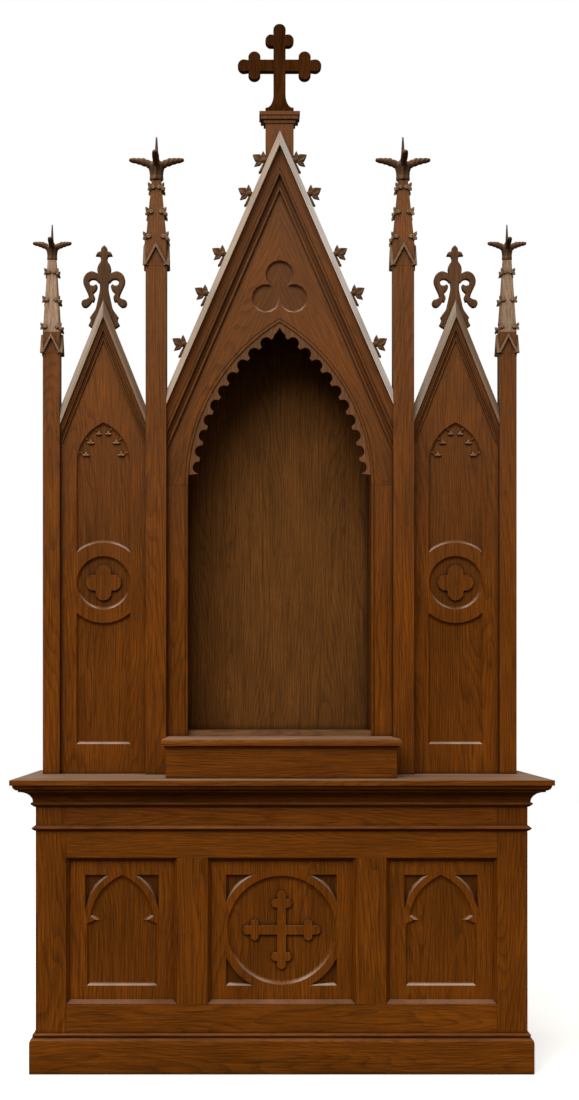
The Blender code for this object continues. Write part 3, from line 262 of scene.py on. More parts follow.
    def colour(self, tree: bpy.types.NodeTree, place: bpy.types.NodeSocket, rings: bpy.types.NodeSocket,
               pores: bpy.types.NodeSocket) -> bpy.types.NodeSocket:
        """Colour of the face with its stain, pores and tone, its painted shade and painted haze, and the pale
        of faces that look up, part scuffed varnish and dust and part painted highlight.

        Args:
            tree: The material's tree.
            place: Board space in metres.
            rings: The growth rings.
            pores: The open pores.

        Returns:
            The colour.
        """
        fibres = self.streaks(tree, place, self.fibre_mm, 46.0, 3.0, 0.6)
        tone = self.streaks(tree, place, self.tone_mm, 3.0, 3.0, 0.55)
        grained = worked(tree, "MULTIPLY_ADD", rings, self.ring_share, fibres)
        ramp = add_node(tree, "ShaderNodeValToRGB", {"Fac": grained})
        low, high = ramp.color_ramp.elements
        low.position, low.color = 0.25, linear(self.dark)
        high.position, high.color = 0.80, linear(self.light)
        ramp.color_ramp.elements.new(0.53).color = linear(self.body)
        shade = ranged(tree, tone, (0.3, 0.7), (1.0 - self.blotch, 1.0 + self.blotch / 2))
        depth = ranged(tree, pores, (0.0, 1.0), (0.72, 1.0))
        # the pores and the painted shade of corners and recesses darken the colour
        pores_and_painted_shade = worked(tree, "MULTIPLY", depth, self.painted_shade(tree))
        toned = add_node(tree, "ShaderNodeVectorMath", {
            0: ramp.outputs["Color"], "Scale": worked(tree, "MULTIPLY", shade, pores_and_painted_shade)}, operation="SCALE")
        coordinates = add_node(tree, "ShaderNodeTexCoord")
        up = add_node(tree, "ShaderNodeSeparateXYZ", {"Vector": coordinates.outputs["Object"]})
        # painted haze of reflected light: the colour turns paler from a height of 1.6 m to 3.1 m
        high_up = ranged(tree, up.outputs["Z"], (1.6, 3.1), (0.0, self.painted_haze))
        hazed = self.towards(tree, high_up, toned.outputs["Vector"], self.painted_haze_colour)
        return self.towards(tree, self.wear_and_highlight_mask(tree, tone), hazed, self.worn_and_lit)

    def towards(self, tree: bpy.types.NodeTree, share: bpy.types.NodeSocket, colour: bpy.types.NodeSocket,
                other: str) -> bpy.types.NodeSocket:
        """Blend a colour by a share towards a hex colour."""
        return add_node(tree, "ShaderNodeMix", {"Factor": share, "A": colour, "B": linear(other)},
                        data_type="RGBA").outputs["Result"]

    def painted_shade(self, tree: bpy.types.NodeTree) -> bpy.types.NodeSocket:
        """Painted shade, as a factor on the colour: 1 in the open, less in corners, creases and recesses and
        on the floors of carvings.
        """
        near = self.openness(tree, self.crevice_mm * MM, 4, (0.45, 0.92), 0.22)
        far = self.openness(tree, 7 * self.crevice_mm * MM, 3, (0.30, 0.92), 0.66)
        # painted shade on the floors of sinkings, darker the smaller the sinking
        ground = add_node(tree, "ShaderNodeAttribute", attribute_name="ground")
        ground_shade_factor = worked(tree, "SUBTRACT", 1.0, ground.outputs["Fac"])
        return worked(tree, "MULTIPLY", worked(tree, "MULTIPLY", near, far), ground_shade_factor)

    def openness(self, tree: bpy.types.NodeTree, reach: float, samples: int, span: tuple[float, float],
                 least: float) -> bpy.types.NodeSocket:
        """How open a place is, looking a given distance round.

        Args:
            tree: The material's tree.
            reach: Distance in metres.
            samples: Rays per look.
            span: Openness at which the painted shade is full, and at which it is gone.
            least: The result where the painted shade is full.

        Returns:
            The openness, 1 where nothing is near.
        """
        around = add_node(tree, "ShaderNodeAmbientOcclusion", {"Distance": reach}, samples=samples,
                          only_local=False)
        return ranged(tree, around.outputs["AO"], span, (least, 1.0))

    def wear_and_highlight_mask(self, tree: bpy.types.NodeTree, tone: bpy.types.NodeSocket) -> bpy.types.NodeSocket:
        """Pale share on faces that look up, part scuffed varnish and dust and part painted highlight, and a
        painted highlight at the foot of gouged hollows.
        """
        facing = add_node(tree, "ShaderNodeNewGeometry")
        upward = add_node(tree, "ShaderNodeSeparateXYZ", {"Vector": facing.outputs["Normal"]}).outputs["Z"]
        # pale on faces that look up: part scuffed varnish and dust, part painted highlight
        looking_up = ranged(tree, upward, self.worn_and_lit_slopes, (0.0, self.wear_and_highlight))
        # painted highlight on the lower slopes of gouged hollows that face partly upwards
        hollow = add_node(tree, "ShaderNodeAttribute", attribute_name="hollow")
        hollow_highlight = ranged(tree, upward, (0.25, 0.75), (0.0, hollow.outputs["Fac"]))
        rubbed_and_lit = worked(tree, "MAXIMUM", looking_up, hollow_highlight)
        return worked(tree, "MULTIPLY", worked(tree, "MULTIPLY", rubbed_and_lit, tone), 2.0, use_clamp=True)


class Finish(Enum):
    """The oak finishes of the altar, named for where the stain took differently and for where their painted
    highlights and painted shade differ.
    """

    BODY = StainedOak("Stained oak", "oak_body", "#8c4a0d", "#6e3907", "#482203")
    # panels: stronger pale on upward faces and a grey painted highlight on the lower slopes of their hollows
    PANEL = StainedOak("Stained oak with rubbed hollows", "oak_body", "#8c4a0d", "#6e3907", "#482203",
                       worn_and_lit="#b3a08f", wear_and_highlight=0.20)
    # coping strips: a paler oak with a painted highlight over the whole strip; pale on the left slopes, almost
    # white on the right slope of the great gable, dull on the right slopes of the side gables
    COPING_LEFT = StainedOak("Oak rubbed pale", "oak_body", "#84603f", "#6c4c30", "#4c3420",
                             worn_and_lit="#bfac98", wear_and_highlight=0.66, worn_and_lit_slopes=(-1.2, -1.1), blotch=0.4)
    COPING_RIGHT = StainedOak("Oak rubbed almost white", "oak_body", "#84603f", "#6c4c30", "#4c3420",
                              worn_and_lit="#e6ddd4", wear_and_highlight=0.74, worn_and_lit_slopes=(-1.2, -1.1), blotch=0.4)
    COPING_DULL = StainedOak("Oak rubbed a little", "oak_body", "#84603f", "#6c4c30", "#4c3420",
                             worn_and_lit="#a08770", wear_and_highlight=0.50, worn_and_lit_slopes=(-1.2, -1.1))
    # mensa and predella tops: pale on upward faces, part scuffed varnish and dust, part painted highlight
    TABLE = StainedOak("Stained oak, worn pale on top", "oak_body", "#8c4a0d", "#6e3907", "#482203",
                       worn_and_lit="#9c8774", wear_and_highlight=0.55, worn_and_lit_slopes=(0.55, 1.0))
    # the niche: painted shade that reaches far, darkening it towards its sides and top
    NICHE = StainedOak("Stained oak of the niche", "oak_niche", "#84501f", "#69401a", "#4a2c0e", painted_haze=0.0,
                       crevice_mm=26.0)
    # carved finishes: pale on faces that look even a little upwards, part scuffed varnish and dust, part
    # painted highlight
    LINING = StainedOak("Bare-rubbed oak lining", "oak_body", "#8a5834", "#704526", "#4c2c16", wear_and_highlight=0.45,
                        worn_and_lit_slopes=(0.1, 0.8))
    CARVED = StainedOak("Rubbed carved oak", "oak_carved", "#74492a", "#573518", "#331c09",
                        roughness=0.46, wear_and_highlight=0.45, worn_and_lit_slopes=(0.1, 0.8), blotch=0.34)
    LEAF = StainedOak("Pale rubbed leaf carving", "oak_carved", "#a98463", "#8a674b", "#573c28",
                      roughness=0.5, wear_and_highlight=0.55, worn_and_lit_slopes=(0.1, 0.8))
    TIPS = StainedOak("Bare-rubbed leaf tips", "oak_carved", "#a9754a", "#835733", "#4f3119",
                      roughness=0.5, wear_and_highlight=0.5, worn_and_lit="#d9b48a", worn_and_lit_slopes=(0.1, 0.8))
    BLEACHED = StainedOak("Bleached oak of the outer spires", "oak_carved", "#c2a48a", "#a98a70", "#8b6e57",
                          wear_and_highlight=0.4, painted_haze=0.0)
    SILL = StainedOak("Stained oak, walked dull", "oak_niche", "#7e583a", "#654329", "#482e19",
                      wear_and_highlight=0.0, painted_haze=0.0, crevice_mm=3.0)
    DARK = StainedOak("Dark stained oak", "oak_dark", "#5f3209", "#472408", "#2a1404", wear_and_highlight=0.0, painted_haze=0.0,
                      roughness=0.55, gloss=0.06, blotch=0.34)


NODE_FINISH = {"niche_floor": Finish.SILL, "niche_": Finish.NICHE, "mensa_": Finish.TABLE,
               "predella_top": Finish.TABLE}
LEVEL_NODES = ("mensa_top", "cornice_front", "string_front", "plinth_front", "top_rail", "bottom_rail",
               "predella_front", "predella_top", "niche_floor")
DEPTH_NODES = ("cornice_left", "cornice_right", "string_left", "string_right", "plinth_left", "plinth_right",
               "predella_left", "predella_right")


def finish_of(node: str) -> Finish:
    """The finish of a board, from its name."""
    return next((finish for start, finish in NODE_FINISH.items() if node.startswith(start)), Finish.BODY)


def grain_of(node: str) -> Grain:
    """The way the grain of a board runs, from its name.

    Args:
        node: Name of the CAD node.

    Returns:
        The grain.
    """
    if node in LEVEL_NODES:
        return Grain.LEVEL
    if node in DEPTH_NODES:
        return Grain.DEPTH
    if "rake" in node or "roof" in node:
        rises_right = ("left" in node) != ("inner" in node)
        return Grain.RISES_RIGHT if rises_right else Grain.RISES_LEFT
    return Grain.UPRIGHT


Point = tuple[float, float]
BOARD_NUMBERS = {node: float(number) for number, node in enumerate(sorted(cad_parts))}
REPLACED: set[str] = set()


def boards_apart(mesh: bpy.types.Mesh, board: float) -> None:
    """Give every point of a mesh the number that shifts its grain."""
    numbers = mesh.attributes.get("board") or mesh.attributes.new("board", "FLOAT", "POINT")
    numbers.data.foreach_set("value", [board] * len(mesh.vertices))


def tidy_mesh(bm: bmesh.types.BMesh, name: str, merge: float = 0.01 * MM) -> bpy.types.Mesh:
    """Merge doubled points, face everything outwards and finish a bmesh.

    Args:
        bm: The faces; it is freed.
        name: Name of the mesh.
        merge: Points nearer than this become one.

    Returns:
        The mesh.
    """
    bmesh.ops.remove_doubles(bm, verts=bm.verts, dist=merge)
    bmesh.ops.recalc_face_normals(bm, faces=bm.faces)
    mesh = bpy.data.meshes.new(name)
    bm.to_mesh(mesh)
    bm.free()
    return mesh


def evaluated(holder: bpy.types.Object) -> bpy.types.Mesh:
    """Turn an object with its modifiers into a plain mesh, and drop the object.

    Args:
        holder: The object; it is removed.

    Returns:
        The mesh.
    """
    bpy.context.collection.objects.link(holder)
    bpy.context.view_layer.update()
    graph = bpy.context.evaluated_depsgraph_get()
    mesh = bpy.data.meshes.new_from_object(holder.evaluated_get(graph))
    bpy.data.objects.remove(holder)
    return mesh


def flat_faced(mesh: bpy.types.Mesh, sharp: float) -> bpy.types.Mesh:
    """Shade a mesh so that its large faces look flat and its eased edges round.

    Args:
        mesh: The mesh; its edges get their sharpness here.
        sharp: Edges sharper than this stay crisp.

    Returns:
        The mesh with normals weighted by area.
    """
    mesh.shade_smooth()
    mesh.set_sharp_from_angle(angle=sharp)
    holder = bpy.data.objects.new("shading", mesh)
    weighted = holder.modifiers.new("Flat faces", "WEIGHTED_NORMAL")
    weighted.weight = 100
    weighted.keep_sharp = True
    return evaluated(holder)


def finished(name: str, mesh: bpy.types.Mesh, finish: Finish, grain: Grain,
             stands_for: tuple[str, ...] = (), board: float | None = None,
             sharp: float = math.radians(35)) -> bpy.types.Object:
    """Dress a mesh as a piece of the altar.

    Args:
        name: Name of the piece.
        mesh: Its mesh, in place.
        finish: Its finish.
        grain: Which way its grain runs.
        stands_for: CAD nodes that it replaces.
        board: Number that shifts its grain, or None where the mesh has its own.
        sharp: Edges sharper than this stay crisp.

    Returns:
        The piece.
    """
    if board is not None:
        boards_apart(mesh, board)
    mesh = flat_faced(mesh, sharp)
    piece = bpy.data.objects.new(name, mesh)
    bpy.context.collection.objects.link(piece)
    mesh.materials.clear()
    mesh.materials.append(finish.value.material(grain))
    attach(piece, ROOT)
    if stands_for:
        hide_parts(*stands_for)
        REPLACED.update(stands_for)
    LOG.info("%s: %d faces", name, len(mesh.polygons))
    return piece


def skin(bm: bmesh.types.BMesh, rings: list[list[Vector]], closed_ends: bool = True) -> None:
    """Skin between rings of equal length.

    Args:
        bm: Gets the faces.
        rings: Points round each ring, in order along the piece.
        closed_ends: Whether the first and last ring get a face.
    """
    made = [[bm.verts.new(point) for point in ring] for ring in rings]
    for near, far in zip(made, made[1:]):
        for index, vert in enumerate(near):
            after = (index + 1) % len(near)
            bm.faces.new((vert, near[after], far[after], far[index]))
    if closed_ends:
        bm.faces.new(list(reversed(made[0])))
        bm.faces.new(made[-1])


def melted(mesh: bpy.types.Mesh, voxel: float, passes: int) -> bpy.types.Mesh:
    """One closed skin round overlapping solids, slightly softened like carving smoothed by handling.

    Args:
        mesh: The overlapping solids.
        voxel: Size of the finest detail kept.
        passes: Rounds of smoothing.

    Returns:
        The new mesh.
    """
    holder = bpy.data.objects.new("melting", mesh)
    remesh = holder.modifiers.new("One skin", "REMESH")
    remesh.mode = "VOXEL"
    remesh.voxel_size = voxel
    soften = holder.modifiers.new("Rubbed", "SMOOTH")
    soften.factor = 0.5
    soften.iterations = passes
    return evaluated(holder)


def rounded_plate(outlines: list[list[Point]], front: float, back: float, ease: float,
                  steps: int = 2) -> bpy.types.Mesh:
    """Upright plate with rounded edges.

    Args:
        outlines: Outline and holes, as points across and up.
        front: Depth of its face, in the altar's Y.
        back: Depth of its back.
        ease: Radius of its edges.
        steps: Points on that radius.

    Returns:
        The plate's mesh.
    """
    curve = bpy.data.curves.new("plate", "CURVE")
    curve.dimensions = "2D"
    curve.fill_mode = "BOTH"
    curve.extrude = (back - front) / 2 - ease
    curve.bevel_depth = ease
    curve.bevel_resolution = steps
    curve.offset = -ease
    for outline in outlines:
        spline = curve.splines.new("POLY")
        spline.points.add(len(outline) - 1)
        for point, (across, up) in zip(spline.points, outline):
            point.co = (across, up, 0.0, 1.0)
        spline.use_cyclic_u = True
    mesh = evaluated(bpy.data.objects.new("plate", curve))
    upright = Matrix.Rotation(math.radians(90), 4, "X")
    mesh.transform(Matrix.Translation((0.0, (front + back) / 2, 0.0)) @ upright)
    bm = bmesh.new()
    bm.from_mesh(mesh)
    return tidy_mesh(bm, "plate")


def level_outlines(node: str) -> list[tuple[float, list[list[Point]]]]:
    """Read the outlines of the flat front faces of a CAD board, level by level.

    Args:
        node: Name of the CAD node.

    Returns:
        Depth of each level in the altar's Y, nearest first, with its closed loops across and up.
    """
    bm = bmesh.new()
    bm.from_mesh(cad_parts[node].data)
    bmesh.ops.remove_doubles(bm, verts=bm.verts, dist=0.01 * MM)
    bm.normal_update()
    levels: dict[float, set] = {}
    for face in bm.faces:
        if face.normal.y < -0.99:
            levels.setdefault(round(face.calc_center_median().y, 4), set()).add(face)
    found = []
    for depth, faces in sorted(levels.items(), key=lambda level: level[0]):
        following = {loop.vert: loop.link_loop_next.vert for face in faces for loop in face.loops
                     if sum(other in faces for other in loop.edge.link_faces) == 1}
        loops = []
        while following:
            start, vert = following.popitem()
            ring = [start]
            while vert is not start:
                ring.append(vert)
                vert = following.pop(vert)
            loops.append([(vert.co.x, vert.co.z) for vert in ring])
        found.append((depth, loops))
    bm.free()
    return found


def face_outlines(node: str) -> list[list[Point]]:
    """Outlines of a CAD plate's foremost level, holes included."""
    return level_outlines(node)[0][1]


def loop_area(loop: list[Point]) -> float:
    """Signed area of a closed loop."""
    return sum(x * after_z - after_x * z
               for (x, z), (after_x, after_z) in zip(loop, [*loop[1:], loop[0]])) / 2


def eased_loop(loop: list[Point], longest: float, corner: float, steps: int) -> list[Point]:
    """Round a faceted loop: short sides become curves, long sides and sharp corners stay.

    Args:
        loop: Closed loop of points.
        longest: Sides longer than this stay straight.
        corner: Turns sharper than this stay corners.
        steps: Pieces of each short side.

    Returns:
        The finer loop.
    """
    points = [Vector(point) for point in loop]
    points = [point for before, point in zip([points[-1], *points], points)
              if (point - before).length > 0.2 * MM]
    count = len(points)
    sides = [points[(index + 1) % count] - points[index] for index in range(count)]

    def heading(index: int, leaving: bool) -> Vector:
        """Direction of the curve at a point, on its near or far side."""
        before, after = sides[index - 1], sides[index % count]
        own = after if leaving else before
        if before.angle(after) > corner:
            return own.normalized()
        for side in (before, after):
            if side.length > longest:
                return side.normalized()
        return (before.normalized() * after.length + after.normalized() * before.length).normalized()

    finer = []
    for index, side in enumerate(sides):
        start, end = points[index], points[(index + 1) % count]
        if side.length > longest:
            finer.append(tuple(start))
            continue
        pull = side.length
        out, into = heading(index, True) * pull, heading((index + 1) % count, False) * pull
        for step in range(steps):
            t = step / steps
            finer.append(tuple(
                start * (2 * t ** 3 - 3 * t ** 2 + 1) + out * (t ** 3 - 2 * t ** 2 + t)
                + end * (3 * t ** 2 - 2 * t ** 3) + into * (t ** 3 - t ** 2)))
    return finer


def merged(meshes: list[bpy.types.Mesh], name: str) -> bpy.types.Mesh:
    """Join meshes into one, with each point's board number kept.

    Args:
        meshes: The meshes.
        name: Name of the joined mesh.

    Returns:
        The joined mesh.
    """
    bm = bmesh.new()
    for mesh in meshes:
        bm.from_mesh(mesh)
    joined = bpy.data.meshes.new(name)
    bm.to_mesh(joined)
    bm.free()
    return joined


@dataclass
class Leaf:
    """Carved leaves made of pointed blades with a vein, in the plane of X and Z."""

    around: int = 14
    along: int = 9

    def blade(self, bm: bmesh.types.BMesh, root: tuple[float, float, float], tip: tuple[float, float, float],
              width: float, thickness: float, vein: float = 0.5, belly: float = 0.42) -> None:
        """Add one pointed blade.

        Args:
            bm: Gets the blade.
            root: Where it starts.
            tip: Its point.
            width: Widest width.
            thickness: Thickness there.
            vein: Depth of the groove along its middle, as a share of the thickness.
            belly: Where along its length it is widest.
        """
        start, end = Vector(root), Vector(tip)
        line = end - start
        side = line.cross(Vector((0.0, 1.0, 0.0)))
        if side.length < 0.2 * line.length:
            side = Vector((1.0, 0.0, 0.0))
        side.normalize()
        up = side.cross(line).normalized()
        rings = []
        for step in range(self.along + 1):
            t = step / self.along
            swell = (t / belly) ** 0.55 if t < belly else ((1.0 - t) / (1.0 - belly)) ** 0.85
            swell = max(swell, 0.30 * (1.0 - t) + 0.02)
            ring = []
            for turn in range(self.around):
                angle = 2 * math.pi * turn / self.around
                groove = vein * math.exp(-(math.cos(angle) / 0.3) ** 2)
                crease = 1.0 - groove * min(1.0, 4 * t * (1 - t) + 0.2)
                ring.append(start + line * t + side * (width / 2 * swell * math.cos(angle))
                            + up * (thickness / 2 * swell ** 0.6 * math.sin(angle) * crease))
            rings.append(ring)
        skin(bm, rings)


@dataclass
class Repeater:
    """Sets copies of one carved leaf on marked points, each turned as its point says."""

    def __post_init__(self) -> None:
        """Build the tree once for every run of leaves."""
        self.tree = self.build_tree()
        self.sockets = {item.name: item.identifier for item in self.tree.interface.items_tree
                        if item.in_out == "INPUT"}

    def build_tree(self) -> bpy.types.NodeTree:
        """Make the Geometry Nodes tree.

        Returns:
            A tree with the inputs Leaf, Size, Variation, Seed, Board and Material.
        """
        tree = bpy.data.node_groups.new("Carved leaves on points", "GeometryNodeTree")
        sockets = {"Geometry": "Geometry", "Leaf": "Object", "Size": "Float", "Variation": "Float",
                   "Seed": "Int", "Board": "Float", "Material": "Material"}
        for name, kind in sockets.items():
            tree.interface.new_socket(name, in_out="INPUT", socket_type=f"NodeSocket{kind}")
        tree.interface.new_socket("Geometry", in_out="OUTPUT", socket_type="NodeSocketGeometry")
        given = add_node(tree, "NodeGroupInput").outputs
        leaf = add_node(tree, "GeometryNodeObjectInfo", {"Object": given["Leaf"]})
        turn = add_node(tree, "GeometryNodeInputNamedAttribute", {"Name": "turn"}, data_type="FLOAT_VECTOR")
        rotation = add_node(tree, "FunctionNodeEulerToRotation", {"Euler": turn.outputs["Attribute"]})
        least = worked(tree, "SUBTRACT", 1.0, given["Variation"])
        share = add_node(tree, "FunctionNodeRandomValue", {
            "Min": least, "Max": 1.0, "Seed": given["Seed"]}, data_type="FLOAT")
        copies = add_node(tree, "GeometryNodeInstanceOnPoints", {
            "Points": given["Geometry"], "Instance": leaf.outputs["Geometry"],
            "Rotation": rotation.outputs["Rotation"],
            "Scale": worked(tree, "MULTIPLY", given["Size"], share.outputs["Value"])})
        real = add_node(tree, "GeometryNodeRealizeInstances", {"Geometry": copies.outputs["Instances"]})
        numbered = add_node(tree, "GeometryNodeStoreNamedAttribute", {
            "Geometry": real.outputs["Geometry"], "Name": "board", "Value": given["Board"]},
            data_type="FLOAT", domain="POINT")
        dressed = add_node(tree, "GeometryNodeSetMaterial", {
            "Geometry": numbered.outputs["Geometry"], "Material": given["Material"]})
        add_node(tree, "NodeGroupOutput", {"Geometry": dressed.outputs["Geometry"]})
        return tree

    def run(self, leaf: bpy.types.Mesh, places: list[tuple[Vector, tuple[float, float, float]]],
            size: float, finish: Finish, grain: Grain, variation: float = 0.05, seed: int = 7,
            board: float = 0.0) -> bpy.types.Mesh:
        """Set a leaf on each place.

        Args:
            leaf: Mesh of one leaf round the origin.
            places: Where each goes, and how it is turned.
            size: How much larger than its mesh each is.
            finish: Finish of the leaves.
            grain: Which way their grain runs.
            variation: Share by which a leaf may be smaller than the largest.
            seed: Seed of that variation.
            board: Number that shifts their grain.

        Returns:
            One plain mesh with every leaf.
        """
        points = bpy.data.meshes.new("places")
        points.from_pydata([place for place, _ in places], [], [])
        turns = points.attributes.new("turn", "FLOAT_VECTOR", "POINT")
        turns.data.foreach_set("vector", [angle for _, turn in places for angle in turn])
        model = bpy.data.objects.new("leaf", leaf)
        holder = bpy.data.objects.new("places", points)
        nodes = holder.modifiers.new("Leaves", "NODES")
        nodes.node_group = self.tree
        values = {"Leaf": model, "Size": size, "Variation": variation, "Seed": seed, "Board": board,
                  "Material": finish.value.material(grain)}
        for name, value in values.items():
            nodes[self.sockets[name]] = value
        mesh = evaluated(holder)
        bpy.data.objects.remove(model)
        return mesh


@dataclass
class Rake:
    """Raking moulding of a gable: pale coping, deep hollow, and two beads inside it."""

    apex: float
    spread: float
    middle: float
    face: float
    width: float
    out: float
    coping: float
    fascia: float
    rebate: float
    back: float
    flat: float = 2.5 * MM
    gap: float = 0.3 * MM
    strip_depth: float = 25.0 * MM

    def section(self) -> list[Point]:
        """Section from the outer edge inwards, and depth.

        Returns:
            Points of the closed section.
        """
        front, board = self.face - self.out, self.face - self.gap
        points = [(0.0, self.back), (0.0, front + self.coping), (self.coping, front),
                  (self.coping + self.flat, front)]
        points += self.hollow(points[-1], (self.fascia, board - 0.46 * self.out))
        step = (self.width - self.fascia) / 3
        points += self.bead(self.fascia, board - 0.46 * self.out, step * 0.8)
        points += self.hollow((self.fascia + step, board - 0.40 * self.out),
                              (self.fascia + 1.9 * step, board - 0.14 * self.out))
        points += self.bead(self.fascia + 1.9 * step, board - 0.14 * self.out, step)
        return points + [(self.width, board), (self.rebate, board), (self.rebate, self.back)]

    def hollow(self, start: Point, end: Point) -> list[Point]:
        """Quarter hollow that drops first and then runs out level."""
        inwards, down = end[0] - start[0], end[1] - start[1]
        return [(start[0] + inwards * (1 - math.cos(turn)), start[1] + down * math.sin(turn))
                for turn in (math.pi / 2 * step / 7 for step in range(1, 8))]

    def bead(self, start: float, depth: float, width: float) -> list[Point]:
        """Half-round bead beside the last point, with a quirk before it."""
        radius = width / 2
        return [(start + 0.8 * MM, depth + 2.0 * MM)] + [
            (start + 1.0 * MM + radius * (1 - math.cos(turn)), depth - radius * math.sin(turn) + 0.5 * MM)
            for turn in (math.pi * step / 8 for step in range(9))]

    def mesh(self, hand: int, near: float, far: float) -> bpy.types.Mesh:
        """Run the section down one slope.

        Args:
            hand: 1 for the right slope, -1 for the left.
            near: Distance of its upper mitre from the gable's middle.
            far: Distance of its lower end.

        Returns:
            The moulding's mesh.
        """
        drop = math.hypot(1.0, 1.0 / self.spread)
        rings = []
        for across in (near, (near + far) / 2, far):
            edge = self.apex - across / self.spread
            rings.append([Vector((self.middle + hand * across, depth, edge - inward * drop))
                          for inward, depth in self.section()])
        bm = bmesh.new()
        skin(bm, rings)
        return tidy_mesh(bm, "rake")

    def dress_coping(self, piece: bpy.types.Object, finish: Finish, grain: Grain) -> None:
        """Give the outermost strip of a finished slope its paler finish with a painted highlight.

        Args:
            piece: The slope.
            finish: Finish of the strip.
            grain: Which way its grain runs.
        """
        drop = math.hypot(1.0, 1.0 / self.spread)
        piece.data.materials.append(finish.value.material(grain))
        for face in piece.data.polygons:
            across, depth, up = face.center
            inward = (self.apex - abs(across - self.middle) / self.spread - up) / drop
            behind = depth > self.face - self.out + self.coping + self.strip_depth
            if inward < self.coping + self.flat - 0.1 * MM and not behind:
                face.material_index = 1


@dataclass
class Gable:
    """The great gable: raking mouldings with crockets, and the cusped lining of its arch."""

    apex: float = 3.354
    spread: float = 0.436
    crocket_heights: tuple[float, ...] = (3.253, 3.131, 2.911, 2.766, 2.580)
    stand_off: float = 0.0237
    crocket_thickness: float = 0.022
    bead: float = 4.0 * MM
    crown_rise: float = 14.0 * MM

    def rake(self) -> Rake:
        """The raking moulding, set by the solids that it stands for."""
        low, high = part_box("gable_board")
        return Rake(self.apex, self.spread, 0.0, low[1], 0.088, 0.040, 0.020, 0.054, 0.034, high[1])

    def crocket(self) -> bpy.types.Mesh:
        """One crocket of the right slope: three veined blades over a curled foot.

        Returns:
            Its mesh, round the middle of the leaf.
        """
        bm = bmesh.new()
        leaf = Leaf()
        for root, tip, width, share, vein, belly in (
                ((-0.010, 0.0, -0.010), (-0.0094, 0.0, 0.0335), 0.022, 0.8, 0.7, 0.5),
                ((-0.012, 0.0, -0.008), (0.0300, 0.0, 0.0192), 0.034, 1.0, 0.7, 0.56),
                ((-0.010, 0.0, 0.002), (0.0242, 0.0, -0.0268), 0.023, 0.8, 0.7, 0.52),
                ((-0.034, 0.0, -0.006), (0.006, 0.0, 0.002), 0.024, 0.9, 0.0, 0.5),
                ((-0.018, 0.0, 0.000), (0.0010, 0.0, -0.0500), 0.014, 0.7, 0.2, 0.8),
                ((-0.004, 0.0, -0.036), (0.0070, 0.0, -0.0530), 0.012, 0.7, 0.0, 0.6)):
            leaf.blade(bm, root, tip, width, self.crocket_thickness * share, vein, belly)
        return melted(tidy_mesh(bm, "crocket"), 1.1 * MM, 1)

    def build(self, repeater: Repeater) -> None:
        """Make both slopes, their crockets and the lining.

        Args:
            repeater: Sets out the crockets.
        """
        rake = self.rake()
        crocket = self.crocket()
        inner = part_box("post_inner_right")[0][0]
        for hand, side, grain in ((-1, "left", Grain.RISES_RIGHT), (1, "right", Grain.RISES_LEFT)):
            moulding = rake.mesh(hand, rake.gap, inner - rake.gap)
            slope = finished(f"gable_moulding_{side}", moulding, Finish.BODY, grain, (f"gable_rake_{side}",),
                             3.0 + hand)
            # the coping strip gets its painted highlight: pale on the left slope, almost white on the right
            rake.dress_coping(slope, Finish.COPING_LEFT if hand < 0 else Finish.COPING_RIGHT, grain)
            depth = (rake.face - rake.out + rake.coping + rake.back) / 2
            places = []
            for height in self.crocket_heights:
                across = (self.apex - height) * self.spread + self.stand_off * math.hypot(1.0, self.spread)
                turn = 0.0 if hand > 0 else math.pi
                places.append((Vector((hand * across, depth, height)), (0.0, 0.0, turn)))
            leaves = repeater.run(crocket, places, 1.0, Finish.CARVED, Grain.UPRIGHT, board=11.0 + hand)
            finished(f"gable_crockets_{side}", leaves, Finish.CARVED, Grain.UPRIGHT, sharp=math.radians(60))
        self.lining()
        self.jamb_beads()

    def jamb_beads(self) -> None:
        """Slim beads that carry the arch's edge down both jambs."""
        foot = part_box("predella_top")[1][2] + 0.3 * MM
        for hand, side in ((-1, "left"), (1, "right")):
            low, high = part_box(f"jamb_{side}")
            edge = high[0] if hand < 0 else low[0]
            middle = Vector((edge + hand * self.bead, low[1] + 0.6 * self.bead, 0.0))
            rings = []
            for height in (foot, (foot + high[2]) / 2, high[2] - 0.5 * MM):
                rings.append([middle + Vector((self.bead * math.cos(turn), self.bead * math.sin(turn), height))
                              for turn in (2 * math.pi * step / 24 for step in range(24))])
            bm = bmesh.new()
            skin(bm, rings)
            finished(f"jamb_bead_{side}", tidy_mesh(bm, "bead"), Finish.BODY, Grain.UPRIGHT, board=27.0 + hand)

    def lining(self) -> None:
        """The scalloped lining with rounded edges and a pointed crown."""
        low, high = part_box("niche_tracery")
        outlines = []
        for loop in face_outlines("niche_tracery"):
            crown = [(x, z + self.crown_rise if abs(x) < MM and z < high[2] - 10.0 * MM else z)
                     for x, z in loop]
            outlines.append(eased_loop(crown, 20.0 * MM, math.radians(50), 3))
        mesh = rounded_plate(outlines, low[1], high[1], 1.0 * MM)
        finished("niche_lining", mesh, Finish.LINING, Grain.UPRIGHT, ("niche_tracery",), 23.0)


